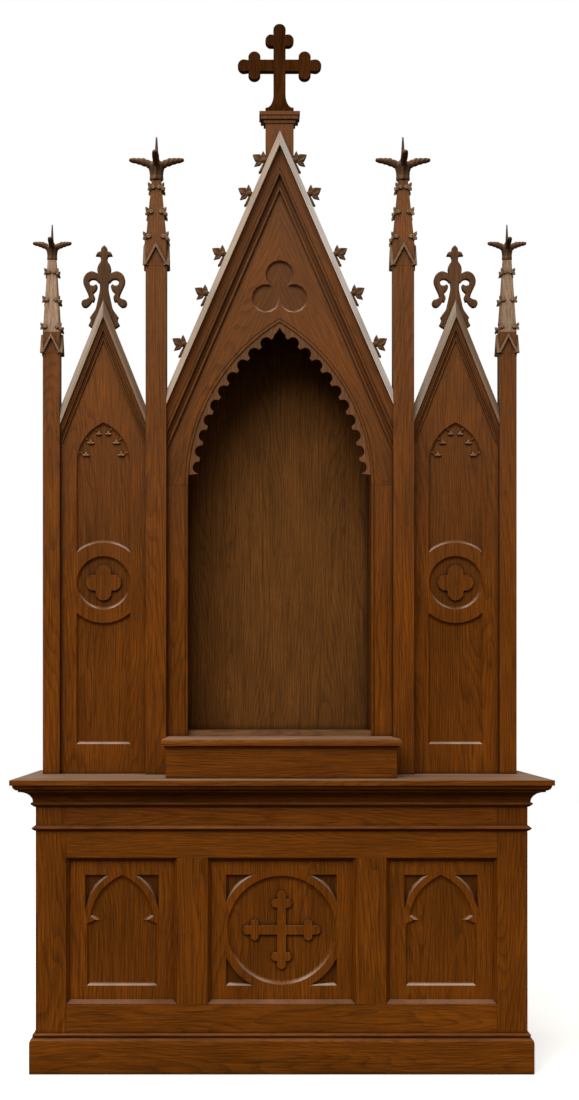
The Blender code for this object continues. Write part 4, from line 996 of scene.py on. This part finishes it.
@dataclass
class Cutouts:
    """Plates cut to an outline whose edges are rounded: the cross and the fleurs."""

    cross_ease: float = 2.6 * MM
    fleur_ease: float = 5.0 * MM

    def build(self) -> None:
        """Make the cross and both fleurs."""
        self.plate("cross", "gable_cross", self.cross_ease, Finish.DARK, 31.0)
        self.plate("fleur_left", "fleur_carved_left", self.fleur_ease, Finish.CARVED, 32.0)
        self.plate("fleur_right", "fleur_carved_right", self.fleur_ease, Finish.CARVED, 33.0)

    def plate(self, node: str, name: str, ease: float, finish: Finish, board: float) -> None:
        """Make one plate.

        Args:
            node: CAD node that gives its outline.
            name: Name of the piece.
            ease: Radius of its edges.
            finish: Its finish.
            board: Number that shifts its grain.
        """
        low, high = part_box(node)
        outlines = [eased_loop(loop, 0.030, math.radians(62), 4) for loop in face_outlines(node)]
        mesh = rounded_plate(outlines, low[1], high[1], ease, 3)
        for vert in mesh.vertices:  # the rounder lobes stay as tall as the solid's
            vert.co.z = min(vert.co.z, high[2])
        finished(name, mesh, finish, Grain.UPRIGHT, (node,), board)


@dataclass
class Turret:
    """Pinnacle over a post: small gables, a tapering spire with leaves, and a leafy finial."""

    kind: str
    leaf_tiers: tuple[float, ...]
    spire_start: float
    spire_neck: float
    leaf_size: float
    gablet_half: float
    gablet_rise: float
    cup_width: float
    leaf_reach: float
    spire_finish: Finish
    band: float = 0.014
    band_out: float = 0.0105
    gap: float = 0.3 * MM

    def build(self, repeater: Repeater) -> None:
        """Make both turrets of this kind.

        Args:
            repeater: Sets out the spire's leaves.
        """
        leaf = self.spire_leaf()
        for board, side in enumerate(("left", "right")):
            label = f"{self.kind}_{side}"
            low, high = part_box(f"post_{label}")
            middle = Vector(((low[0] + high[0]) / 2, (low[1] + high[1]) / 2, 0.0))
            half = (high[0] - low[0]) / 2
            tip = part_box(f"finial_{label}")
            shaft = self.spire(middle, half, high[2] + self.gap, tip[0][2] - self.gap)
            spire = finished(f"spire_{label}", shaft, Finish.BODY, Grain.UPRIGHT, (f"pinnacle_{label}",),
                             BOARD_NUMBERS[f"post_{label}"])
            spire.data.materials.append(self.spire_finish.value.material(Grain.UPRIGHT))
            for face in spire.data.polygons:
                face.material_index = int(face.center.z > self.spire_start)
            bands = merged([self.gablet(middle, half, high[2] + self.gap, quarter) for quarter in range(4)],
                           "gablets")
            finished(f"gablets_{label}", bands, Finish.LEAF, Grain.LEVEL, board=43.0 + board)
            places = []
            for height in self.leaf_tiers:
                share = (height - self.spire_start) / (tip[0][2] - self.spire_start)
                reach = (half + (self.spire_neck / 2 - half) * max(share, 0.0)) * math.sqrt(2)
                for quarter in range(4):
                    turn = math.pi / 4 + quarter * math.pi / 2
                    places.append((middle + Vector((reach * math.cos(turn), reach * math.sin(turn), height)),
                                   (0.0, 0.0, turn)))
            leaves = repeater.run(leaf, places, self.leaf_size, Finish.LEAF, Grain.UPRIGHT, 0.08, 5 + board,
                                  45.0 + board)
            finished(f"spire_leaves_{label}", leaves, Finish.LEAF, Grain.UPRIGHT, sharp=math.radians(60))
            flower = self.finial(middle, tip[0][2], tip[1][2])
            finished(f"finial_carved_{label}", flower, Finish.CARVED, Grain.UPRIGHT, (f"finial_{label}",),
                     47.0 + board, math.radians(60))

    def spire(self, middle: Vector, half: float, low: float, top: float) -> bpy.types.Mesh:
        """The square block behind the gablets and the tapering spire over it.

        Args:
            middle: Middle of the post.
            half: Half the post's width.
            low: Where it starts.
            top: Where the finial's cup sits.

        Returns:
            The mesh with eased arrises.
        """
        bm = bmesh.new()
        rings = []
        for height, reach in ((low, half), (self.spire_start, half), (top, self.spire_neck / 2)):
            rings.append([middle + Vector((sx * reach, sy * reach, height))
                          for sx, sy in ((-1, -1), (1, -1), (1, 1), (-1, 1))])
        skin(bm, rings)
        edges = [edge for edge in bm.edges if abs(edge.verts[0].co.z - edge.verts[1].co.z) > 0.01]
        bmesh.ops.bevel(bm, geom=edges, offset=1.4 * MM, segments=2, affect="EDGES")
        return tidy_mesh(bm, "spire")

    def gablet(self, middle: Vector, half: float, low: float, quarter: int) -> bpy.types.Mesh:
        """One small gable of two thin sloping bands on a face of the post.

        Args:
            middle: Middle of the post.
            half: Half the post's width.
            low: Foot of the gablet.
            quarter: Which face.

        Returns:
            The mesh.
        """
        apex, across = low + self.gablet_rise, self.band * 0.62
        outline = [(self.gablet_half, low), (0.0, apex + self.band * 0.3), (-self.gablet_half, low),
                   (across - self.gablet_half, low), (0.0, apex - self.band), (self.gablet_half - across, low)]
        mesh = rounded_plate([outline], -half - self.band_out, -half + self.band_out, 2.0 * MM, 1)
        mesh.transform(Matrix.Translation(middle) @ Matrix.Rotation(quarter * math.pi / 2, 4, "Z"))
        return mesh

    def spire_leaf(self) -> bpy.types.Mesh:
        """Leaf that wraps a corner: one blade up, one out and down, one along each face.

        Returns:
            Its mesh, about one unit high.
        """
        bm = bmesh.new()
        leaf = Leaf(12, 7)
        leaf.blade(bm, (-0.30, 0.0, -0.3), (0.82, 0.0, 1.00), 0.95, 0.75, belly=0.6)
        leaf.blade(bm, (-0.30, 0.0, 0.3), (0.88, 0.0, -0.82), 0.95, 0.75, belly=0.6)
        for hand in (-1, 1):
            leaf.blade(bm, (0.30, 0.0, 0.0), (-0.70, hand * 0.95, 0.05), 1.15, 0.70, vein=0.3, belly=0.6)
        return melted(tidy_mesh(bm, "spire_leaf"), 0.07, 1)

    def finial(self, middle: Vector, low: float, top: float) -> bpy.types.Mesh:
        """Fluted cup, four ribbed leaf arms and a spike.

        Args:
            middle: Middle of the post.
            low: Foot of the cup.
            top: Tip of the spike.

        Returns:
            The mesh.
        """
        bm = bmesh.new()
        cup, height = self.cup_width / 2, top - low
        profile = ((0.62, 0.0), (0.80, 0.015), (0.84, 0.05), (0.80, 0.12), (0.84, 0.20), (0.95, 0.28),
                   (0.98, 0.34), (0.80, 0.40), (0.45, 0.46), (0.24, 0.52), (0.19, 0.70), (0.13, 0.90),
                   (0.09, 0.993))
        around = 64
        rings = []
        for share, up in profile:
            fold = 0.24 * math.sin(math.pi * min(up / 0.42, 1.0)) ** 0.6
            ring = []
            for step in range(around):
                turn = 2 * math.pi * step / around
                reach = cup * share * (1 - fold * abs(math.sin(4 * turn)))
                ring.append(Vector((reach * math.cos(turn), reach * math.sin(turn), height * up)))
            rings.append(ring)
        skin(bm, rings)
        for quarter in range(4):
            self.arm(bm, quarter * math.pi / 2, height)
        mesh = melted(tidy_mesh(bm, "finial"), 1.2 * MM, 1)
        mesh.transform(Matrix.Translation(middle + Vector((0.0, 0.0, low))))
        return mesh

    def arm(self, bm: bmesh.types.BMesh, turn: float, height: float) -> None:
        """One leaf arm: out of the cup, level, gathered into slanting ribs, to a blunt tip.

        Args:
            bm: Gets the arm.
            turn: Its direction.
            height: Height of the whole finial.
        """
        steps, around = 64, 20
        rings = []
        for step in range(steps + 1):
            t = step / steps
            out = self.leaf_reach * (0.12 + 0.88 * t)
            blunt = math.sqrt(max(1 - (max(t - 0.88, 0.0) / 0.12) ** 2, 0.02))
            low = height * (0.425 - 0.185 * (1 - t) ** 1.5)
            high = height * (0.440 + 0.080 * min(1.0, 2.6 * t) + 0.004 * t)
            middle, tall = (low + high) / 2, (high - low) / 2 * blunt
            wide = height * (0.058 + 0.020 * math.sin(math.pi * t)) * blunt
            ring = []
            for place in range(around):
                angle = 2 * math.pi * place / around
                between = abs(5.0 * (t - 0.09 * math.sin(angle)) % 1.0 - 0.5) * 2
                knob = 1.03 - 0.24 * between ** 4 * min(1.0, 6 * t)
                ring.append(Vector((out, wide * knob * math.cos(angle),
                                    middle + tall * knob * math.sin(angle))))
            rings.append(ring)
        turned = Matrix.Rotation(turn, 4, "Z")
        skin(bm, [[turned @ point for point in ring] for ring in rings])


@dataclass(frozen=True)
class CarvedBoard:
    """A board whose sunk fields have hollow edges, as a carver's gouge leaves them."""

    node: str
    hollow: float
    deeper: float = 1.5 * MM
    flattened: float | None = None
    mitred: bool = False
    ease: float = 0.8 * MM
    steps: int = 5

    def build(self, board: float) -> None:
        """Hollow the edges of every sunk field and make the piece.

        Args:
            board: Number that shifts its grain.
        """
        bm = bmesh.new()
        bm.from_mesh(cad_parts[self.node].data)
        bm.verts.layers.float.new("ground")
        bm.verts.layers.float.new("hollow")
        bmesh.ops.remove_doubles(bm, verts=bm.verts, dist=0.01 * MM)
        levels = self.levels(bm)
        floor = max(levels.values())
        if self.flattened is not None:
            between = [face for face, level in levels.items() if abs(level - self.flattened) < MM]
            for vert in {vert for face in between for vert in face.verts}:
                if abs(vert.co.y - self.flattened) < MM:
                    vert.co.y = floor
            bmesh.ops.remove_doubles(bm, verts=bm.verts, dist=0.01 * MM)
        bmesh.ops.dissolve_limit(bm, angle_limit=math.radians(0.5), verts=bm.verts, edges=bm.edges)
        self.carve(bm)
        if self.mitred:
            bmesh.ops.bisect_plane(bm, geom=[*bm.verts, *bm.edges, *bm.faces], plane_co=(0.0, 0.0, 0.0),
                                   plane_no=(1.0, 0.0, 0.0))
        holder = bpy.data.objects.new("board", tidy_mesh(bm, self.node))
        arris = holder.modifiers.new("Arris", "BEVEL")
        arris.width = self.ease
        arris.segments = 2
        arris.limit_method = "ANGLE"
        arris.angle_limit = math.radians(30)
        finish = Finish.PANEL
        grain = Grain.RISES_RIGHT if self.mitred else Grain.UPRIGHT
        piece = finished(f"{self.node}_carved", evaluated(holder), finish, grain, (self.node,), board)
        if self.mitred:
            piece.data.materials.append(finish.value.material(Grain.RISES_LEFT))
            for face in piece.data.polygons:
                face.material_index = int(face.center.x > 0.0)

    def levels(self, bm: bmesh.types.BMesh) -> dict[bmesh.types.BMFace, float]:
        """Flat faces that look at the viewer, with their depths."""
        bm.normal_update()
        return {face: round(face.calc_center_median().y, 4) for face in bm.faces if face.normal.y < -0.99}

    def carve(self, bm: bmesh.types.BMesh) -> None:
        """Draw in the floor of each sinking and hollow the slope round it.

        Args:
            bm: The board, with flat faces whole.
        """
        levels = self.levels(bm)
        floor = max(levels.values())
        regions = self.regions(levels)
        largest = max(area for area, _ in regions.values())
        ground, hollow = bm.verts.layers.float["ground"], bm.verts.layers.float["hollow"]
        for face, (area, members) in regions.items():
            if levels[face] == floor:
                for vert in members:
                    # painted shade on the floor of each sinking, darker the smaller the sinking
                    vert[ground] = min(0.08 + 0.028 / math.sqrt(area), 0.6)
        feet: dict[bmesh.types.BMVert, list[Vector]] = {}
        slopes = set()
        for edge in bm.edges:
            flat = [face for face in edge.link_faces if levels.get(face) == floor]
            wall = [face for face in edge.link_faces if face not in levels]
            if len(flat) != 1 or len(wall) != 1:
                continue
            rim = [other for side in wall[0].edges for other in side.link_faces
                   if other in levels and levels[other] < floor]
            if not rim or regions[rim[0]][0] < 0.3 * largest:
                continue
            slopes.add(wall[0])
            for vert in edge.verts:
                feet.setdefault(vert, []).append(wall[0].normal.normalized())
        rims = {vert: vert.co.copy() for vert in feet}
        edges = {vert: [edge.calc_length() for edge in vert.link_edges if edge.other_vert(vert) in feet]
                 for vert in feet}
        outline = [tuple(vert.co.xz for vert in edge.verts) for edge in bm.edges
                   if any(face in slopes for face in edge.link_faces)
                   and all(vert in feet for vert in edge.verts)]
        for vert, normals in feet.items():
            first, second = normals[0], normals[-1]
            mitre = (first + second) / max(1.0 + first.dot(second), 0.35)
            size = math.sqrt(min(area for area, members in regions.values() if vert in members))
            reach = min(self.hollow, 0.22 * size)
            room = self.room(vert.co.xz, mitre.xz.normalized(), outline)
            travel = min(reach * mitre.length, 0.36 * room, 0.6 * min(edges[vert], default=1.0) + reach)
            rims[vert] = vert.co + mitre.normalized() * travel
        for vert, place in rims.items():
            vert.co = place
        for vert in {vert for face, level in levels.items() if level == floor for vert in face.verts}:
            vert.co.y += self.deeper
        risers = {edge for face in slopes for edge in face.edges
                  if abs(edge.verts[0].co.y - edge.verts[1].co.y) > 3 * MM}
        top = {edge: min(edge.verts, key=lambda vert: vert.co.y).co.copy() for edge in risers}
        foot = {edge: max(edge.verts, key=lambda vert: vert.co.y).co.copy() for edge in risers}
        spans = [(top[edge], foot[edge]) for edge in risers]
        made = bmesh.ops.subdivide_edges(bm, edges=list(risers), cuts=self.steps - 1, use_grid_fill=False)
        for vert in (item for item in made["geom_inner"] if isinstance(item, bmesh.types.BMVert)):
            high, low = min(spans, key=lambda span: self.off_line(vert.co, *span))
            share = (vert.co.y - high.y) / (low.y - high.y)
            vert.co = high.lerp(low, share ** 1.3)
            vert.co.y = high.y + (low.y - high.y) * math.sin(share * math.pi / 2)
            upright = (low - high).normalized().z / max((low - high).xz.length / (low - high).length, 1e-6)
            # strength of the painted highlight on this hollow, much weaker along the level bottom edge of a
            # sinking
            vert[hollow] = 0.80 - 0.72 * min(max((upright - 0.93) / 0.07, 0.0), 1.0)

    def off_line(self, point: Vector, start: Vector, end: Vector) -> float:
        """Distance of a point from the line through two others."""
        line = (end - start).normalized()
        return (point - start).cross(line).length

    def room(self, point: Vector, way: Vector, outline: list[tuple[Vector, Vector]]) -> float:
        """How far it is from a point to the other side of a sinking.

        Args:
            point: Where to start, across and up.
            way: Direction to look.
            outline: Sides of every sinking.

        Returns:
            The distance, or one metre where nothing is in the way.
        """
        nearest = 1.0
        for start, end in outline:
            side = end - start
            across = way.x * side.y - way.y * side.x
            if abs(across) < 1e-9:
                continue
            gap = start - point
            distance = (gap.x * side.y - gap.y * side.x) / across
            share = (gap.x * way.y - gap.y * way.x) / across
            if distance > 1.0 * MM and -0.02 <= share <= 1.02:
                nearest = min(nearest, distance)
        return nearest

    def regions(self, levels: dict[bmesh.types.BMFace, float]) -> dict[bmesh.types.BMFace, tuple[float, set]]:
        """The whole flat region that each flat face belongs to.

        Args:
            levels: The flat faces with their depths.

        Returns:
            Area and points of the region, by face.
        """
        found: dict[bmesh.types.BMFace, tuple[float, set]] = {}
        for start in levels:
            if start in found:
                continue
            region, todo = {start}, [start]
            while todo:
                for edge in todo.pop().edges:
                    for other in edge.link_faces:
                        if other not in region and levels.get(other) == levels[start]:
                            region.add(other)
                            todo.append(other)
            members = {vert for face in region for vert in face.verts}
            found.update(dict.fromkeys(region, (sum(face.calc_area() for face in region), members)))
        return found


@dataclass
class Bays:
    """The two side fields: small raking mouldings, and leaf tips on the cusps of their heads."""

    middle: float = 0.6474
    apex: float = 2.747
    spread: float = 0.400
    springing: float = 2.147
    head_half: float = 0.0995
    head_top: float = 2.297
    cusps: tuple[tuple[float, float, float], ...] = (
        (0.0175, 2.2580, 0.012), (0.0470, 2.2250, 0.0145), (0.0650, 2.1800, 0.0145))
    branch_depth: float = 8.0 * MM
    tip_depth: float = 5.0 * MM

    def build(self) -> None:
        """Dress both side fields."""
        for hand, side in ((-1, "left"), (1, "right")):
            low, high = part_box(f"side_board_{side}")
            face, back = low[1], high[1]
            middle = hand * self.middle
            rake = Rake(self.apex, self.spread, middle, face, 0.056, 0.020, 0.015, 0.036, 0.020, back,
                        flat=9.0 * MM)
            for way, grain in ((-1, Grain.RISES_RIGHT), (1, Grain.RISES_LEFT)):
                place = "outer" if way == hand else "inner"
                mesh = rake.mesh(way, 0.15 * MM, (high[0] - low[0]) / 2)
                slope = finished(f"side_moulding_{side}_{place}", mesh, Finish.BODY, grain,
                                 (f"side_rake_{side}_{place}",), 70.0 + 2 * hand + way)
                # the coping strip gets its painted highlight: pale on the left slope, dull on the right
                rake.dress_coping(slope, Finish.COPING_LEFT if way < 0 else Finish.COPING_DULL, grain)
            branches, tips = self.tracery()
            for name, mesh, finish, depth in (("tracery", branches, Finish.BODY, self.branch_depth),
                                              ("leaves", tips, Finish.TIPS, self.tip_depth)):
                mesh.transform(Matrix.Translation((middle, face + depth, 0.0)))
                finished(f"head_{name}_{side}", mesh, finish, Grain.UPRIGHT, board=75.0 + hand,
                         sharp=math.radians(60))

    def tracery(self) -> tuple[bpy.types.Mesh, bpy.types.Mesh]:
        """Cusps of a pointed head: round foils between slim branches that end in three leaf tips.

        Returns:
            Branches and leaf tips, round the middle of the bay and their own middle depth.
        """
        rise = self.head_top - self.springing
        radius = (self.head_half ** 2 + rise ** 2) / (2 * self.head_half)
        beyond = radius - self.head_half
        bm, tips = bmesh.new(), bmesh.new()
        leaf = Leaf(12, 10)
        for sign in (-1, 1):
            band = []
            top = math.acos(beyond / radius)
            for step in range(25):
                angle = -0.30 + (top + 0.30) * step / 24
                reach = radius - 2.0 * MM
                if angle < 0.0:
                    middle = Vector((sign * (reach - beyond), 0.0, self.springing + radius * angle))
                else:
                    middle = Vector((sign * (reach * math.cos(angle) - beyond), 0.0,
                                     self.springing + reach * math.sin(angle)))
                outward = Vector((sign * math.cos(max(angle, 0.0)), 0.0, math.sin(max(angle, 0.0))))
                forward = Vector((0.0, 1.0, 0.0))
                band.append([middle + outward * (4.0 * MM * math.cos(turn))
                             + forward * (3.0 * MM * math.sin(turn))
                             for turn in (2 * math.pi * place / 10 for place in range(10))])
            skin(bm, band)
            for across, up, length in self.cusps:
                tip = Vector((sign * across, 0.0, up))
                centre = Vector((-sign * beyond, 0.0, self.springing))
                outward = (tip - centre).normalized()
                root = centre + outward * (radius - 1.0 * MM)
                leaf.blade(bm, tuple(root), tuple(tip), 12.0 * MM, 8.0 * MM, vein=0.0, belly=0.08)
                for turn in (-1.45, 0.0, 1.45):
                    way = Vector((math.sin(turn), 0.0, math.cos(turn)))
                    foot = tip - Vector((0.0, 0.0, 4.0 * MM)) - way * 3.0 * MM
                    end = foot + way * (length + 4.0 * MM)
                    leaf.blade(tips, tuple(foot), tuple(end), 9.5 * MM, 9.0 * MM, vein=0.3)
        return (melted(tidy_mesh(bm, "tracery"), 1.3 * MM, 1),
                melted(tidy_mesh(tips, "tips"), 1.1 * MM, 1))


@dataclass
class NicheBack:
    """Back wall of the niche: upright boards butted side by side."""

    joints: tuple[float, ...] = (-0.201, -0.032, 0.083, 0.255)
    ease: float = 1.0 * MM

    def build(self) -> None:
        """Make the boards, each with grain of its own."""
        low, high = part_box("niche_back")
        outline = max(face_outlines("niche_back"), key=lambda loop: abs(loop_area(loop)))
        eaves = max(z for x, z in outline if abs(x) > 0.3)
        ridge = max(z for _, z in outline)
        half = high[0]
        edges = [low[0], *self.joints, high[0]]
        meshes = []
        for number, (left, right) in enumerate(zip(edges, edges[1:])):
            tops = sorted({left, right} | ({0.0} if left < 0.0 < right else set()), reverse=True)
            points = [(left, low[2]), (right, low[2])]
            points += [(x, ridge - (ridge - eaves) * abs(x) / half) for x in tops]
            mesh = rounded_plate([points], low[1], high[1], self.ease, 1)
            boards_apart(mesh, 80.0 + number)
            meshes.append(mesh)
        finished("niche_back_boards", merged(meshes, "niche_back_boards"), Finish.NICHE, Grain.UPRIGHT,
                 ("niche_back",))


CARVED_BOARDS = (
    CarvedBoard("panel_left", 16.0 * MM), CarvedBoard("panel_centre", 16.0 * MM),
    CarvedBoard("panel_right", 16.0 * MM), CarvedBoard("gable_board", 10.0 * MM, mitred=True),
    CarvedBoard("side_board_left", 12.0 * MM, flattened=0.096),
    CarvedBoard("side_board_right", 12.0 * MM, flattened=0.096),
)


@dataclass
class Joinery:
    """The boards and mouldings whose solids already have the right shape."""

    arris: float = 0.9 * MM
    weld: float = 0.01 * MM
    sharp: float = math.radians(32)

    def __post_init__(self) -> None:
        """Build the tree that numbers a board and shades its curved faces."""
        self.tree = self.build_tree()
        self.sockets = {item.name: item.identifier for item in self.tree.interface.items_tree
                        if item.in_out == "INPUT"}

    def build_tree(self) -> bpy.types.NodeTree:
        """Make the Geometry Nodes tree.

        Returns:
            A tree with the inputs Board and Sharp Angle.
        """
        tree = bpy.data.node_groups.new("Board with eased edges", "GeometryNodeTree")
        for name, kind in (("Geometry", "Geometry"), ("Board", "Float"), ("Sharp Angle", "Float")):
            tree.interface.new_socket(name, in_out="INPUT", socket_type=f"NodeSocket{kind}")
        tree.interface.new_socket("Geometry", in_out="OUTPUT", socket_type="NodeSocketGeometry")
        given = add_node(tree, "NodeGroupInput")
        numbered = add_node(tree, "GeometryNodeStoreNamedAttribute", {
            "Geometry": given.outputs["Geometry"], "Name": "board", "Value": given.outputs["Board"]},
            data_type="FLOAT", domain="POINT")
        angle = add_node(tree, "GeometryNodeInputMeshEdgeAngle")
        round_edge = add_node(tree, "FunctionNodeCompare", {
            "A": angle.outputs["Unsigned Angle"], "B": given.outputs["Sharp Angle"]}, operation="LESS_THAN")
        soft_edges = add_node(tree, "GeometryNodeSetShadeSmooth", {
            "Geometry": numbered.outputs["Geometry"], "Shade Smooth": round_edge.outputs["Result"]},
            domain="EDGE")
        soft_faces = add_node(tree, "GeometryNodeSetShadeSmooth", {
            "Geometry": soft_edges.outputs["Geometry"], "Shade Smooth": True}, domain="FACE")
        add_node(tree, "NodeGroupOutput", {"Geometry": soft_faces.outputs["Geometry"]})
        return tree

    def dress(self, node: str) -> None:
        """Ease the edges of one board and give it its finish.

        Args:
            node: Name of the CAD node.
        """
        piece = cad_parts[node]
        weld = piece.modifiers.new("Weld", "WELD")
        weld.merge_threshold = self.weld
        flat = piece.modifiers.new("Flat faces", "DECIMATE")
        flat.decimate_type = "DISSOLVE"
        flat.angle_limit = math.radians(0.5)
        arris = piece.modifiers.new("Arris", "BEVEL")
        arris.width = self.arris
        arris.segments = 2
        arris.limit_method = "ANGLE"
        arris.angle_limit = self.sharp
        shading = piece.modifiers.new("Board", "NODES")
        shading.node_group = self.tree
        shading[self.sockets["Board"]] = BOARD_NUMBERS[node]
        shading[self.sockets["Sharp Angle"]] = self.sharp
        weighted = piece.modifiers.new("Flat faces stay flat", "WEIGHTED_NORMAL")
        weighted.weight = 100
        weighted.keep_sharp = True
        piece.data.materials.clear()
        piece.data.materials.append(finish_of(node).value.material(grain_of(node)))
        LOG.info("dressed %s", node)


@dataclass
class Studio:
    """Plain pale floor, soft light from the upper left and the photograph's camera."""

    camera_place: tuple[float, float, float] = (-0.100, -5.800, 1.276)
    picture_width: int = 579
    picture_height: int = 1100
    focal_px: float = 1602.6
    centre_px: tuple[float, float] = (252.4, 700.0)
    sensor: float = 36.0

    def build(self) -> None:
        """Make floor, world, lights and camera."""
        self.floor()
        self.world()
        self.key((-1.3, -4.1, 3.7), 2.4, math.radians(46))
        self.soft_box("Rim", (-3.0, -0.4, 6.2), (0.0, 0.2, 2.6), 2.2, 90.0)
        self.camera()
        bpy.context.scene.view_settings.view_transform = "Standard"

    def floor(self) -> None:
        """A wide pale disc just under the altar."""
        bm = bmesh.new()
        bmesh.ops.create_circle(bm, cap_ends=True, radius=14.0, segments=96)
        mesh = bpy.data.meshes.new("studio_floor")
        bm.to_mesh(mesh)
        bm.free()
        floor = bpy.data.objects.new("studio_floor", mesh)
        floor.location.z = -0.0005
        bpy.context.collection.objects.link(floor)
        material = bpy.data.materials.new("Matt white studio floor")
        material.use_nodes = True
        tree = material.node_tree
        shader = tree.nodes["Principled BSDF"]
        speckle = add_node(tree, "ShaderNodeTexNoise", {"Scale": 6.0, "Detail": 3.0})
        tint = add_node(tree, "ShaderNodeMix", {
            "Factor": speckle.outputs["Fac"], "A": linear("#f2f2f1"), "B": linear("#f8f8f7")},
            data_type="RGBA")
        tree.links.new(tint.outputs["Result"], shader.inputs["Base Color"])
        shader.inputs["Roughness"].default_value = 0.9
        shader.inputs["Emission Color"].default_value = linear("#ffffff")
        shader.inputs["Emission Strength"].default_value = 0.45
        mesh.materials.append(material)
        floor.visible_diffuse = False
        floor.visible_glossy = False

    def world(self) -> None:
        """White behind the altar, with a dimmer even light on it."""
        world = bpy.data.worlds.new("Studio")
        world.use_nodes = True
        bpy.context.scene.world = world
        tree = world.node_tree
        tree.nodes.clear()
        ray = add_node(tree, "ShaderNodeLightPath")
        way = add_node(tree, "ShaderNodeTexCoord")
        height = add_node(tree, "ShaderNodeSeparateXYZ", {"Vector": way.outputs["Generated"]})
        glow = ranged(tree, height.outputs["Z"], (-0.4, 0.9), (0.05, 0.50))
        lit = add_node(tree, "ShaderNodeBackground", {"Color": linear("#fff4e6"), "Strength": glow})
        seen = add_node(tree, "ShaderNodeBackground", {"Color": linear("#ffffff"), "Strength": 1.0})
        both = add_node(tree, "ShaderNodeMixShader", {
            0: ray.outputs["Is Camera Ray"], 1: lit.outputs["Background"], 2: seen.outputs["Background"]})
        add_node(tree, "ShaderNodeOutputWorld", {"Surface": both.outputs["Shader"]})

    def key(self, place: tuple[float, float, float], strength: float, spread: float) -> None:
        """Add the even main light.

        Args:
            place: A point that the light comes from, seen from the floor under the altar.
            strength: Light on a face square to it.
            spread: Angle that the light seems to fill, which softens its shadows.
        """
        data = bpy.data.lights.new("Key", "SUN")
        data.energy = strength
        data.angle = spread
        self.hang(data, place, (0.0, 0.0, 0.0))

    def soft_box(self, name: str, place: tuple[float, float, float], aim: tuple[float, float, float],
                 size: float, power: float) -> None:
        """Add a square soft box.

        Args:
            name: Name of the light.
            place: Where it stands, in metres.
            aim: The point it looks at.
            size: Length of its side.
            power: Watts.
        """
        data = bpy.data.lights.new(name, "AREA")
        data.shape = "SQUARE"
        data.size = size
        data.energy = power
        self.hang(data, place, aim)

    def hang(self, data: bpy.types.Light, place: tuple[float, float, float],
             aim: tuple[float, float, float]) -> None:
        """Put a lamp in its place and turn it to its aim."""
        lamp = bpy.data.objects.new(data.name, data)
        lamp.location = place
        lamp.rotation_euler = (Vector(aim) - Vector(place)).to_track_quat("-Z", "Y").to_euler()
        bpy.context.collection.objects.link(lamp)

    def camera(self) -> None:
        """Stand the camera where the photograph was taken, level, framed by shifting it."""
        data = bpy.data.cameras.new("Camera")
        data.sensor_fit = "VERTICAL"
        data.sensor_height = self.sensor
        data.lens = self.focal_px / self.picture_height * self.sensor
        data.shift_x = (self.picture_width / 2 - self.centre_px[0]) / self.picture_height
        data.shift_y = (self.centre_px[1] - self.picture_height / 2) / self.picture_height
        camera = bpy.data.objects.new("Camera", data)
        camera.location = self.camera_place
        camera.rotation_euler = (math.radians(90), 0.0, 0.0)
        bpy.context.collection.objects.link(camera)
        bpy.context.scene.camera = camera


def main() -> None:
    """Build the altar's looks piece by piece, then the studio."""
    logging.basicConfig(level=logging.INFO, format="%(name)s: %(message)s")
    for board, carved in enumerate(CARVED_BOARDS):
        carved.build(60.0 + board)
    repeater = Repeater()
    Gable().build(repeater)
    Turret("inner", (2.962, 3.054, 3.146), 2.945, 0.034, 0.018, 0.0435, 0.080, 0.062, 0.1012,
           Finish.BODY).build(repeater)
    Turret("outer", (2.643, 2.743, 2.846), 2.625, 0.030, 0.0153, 0.036, 0.070, 0.046, 0.0720,
           Finish.BLEACHED).build(repeater)
    Bays().build()
    NicheBack().build()
    Cutouts().build()
    joinery = Joinery()
    for node in sorted(set(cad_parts) - REPLACED):
        joinery.dress(node)
    Studio().build()


if __name__ == "__main__":
    main()
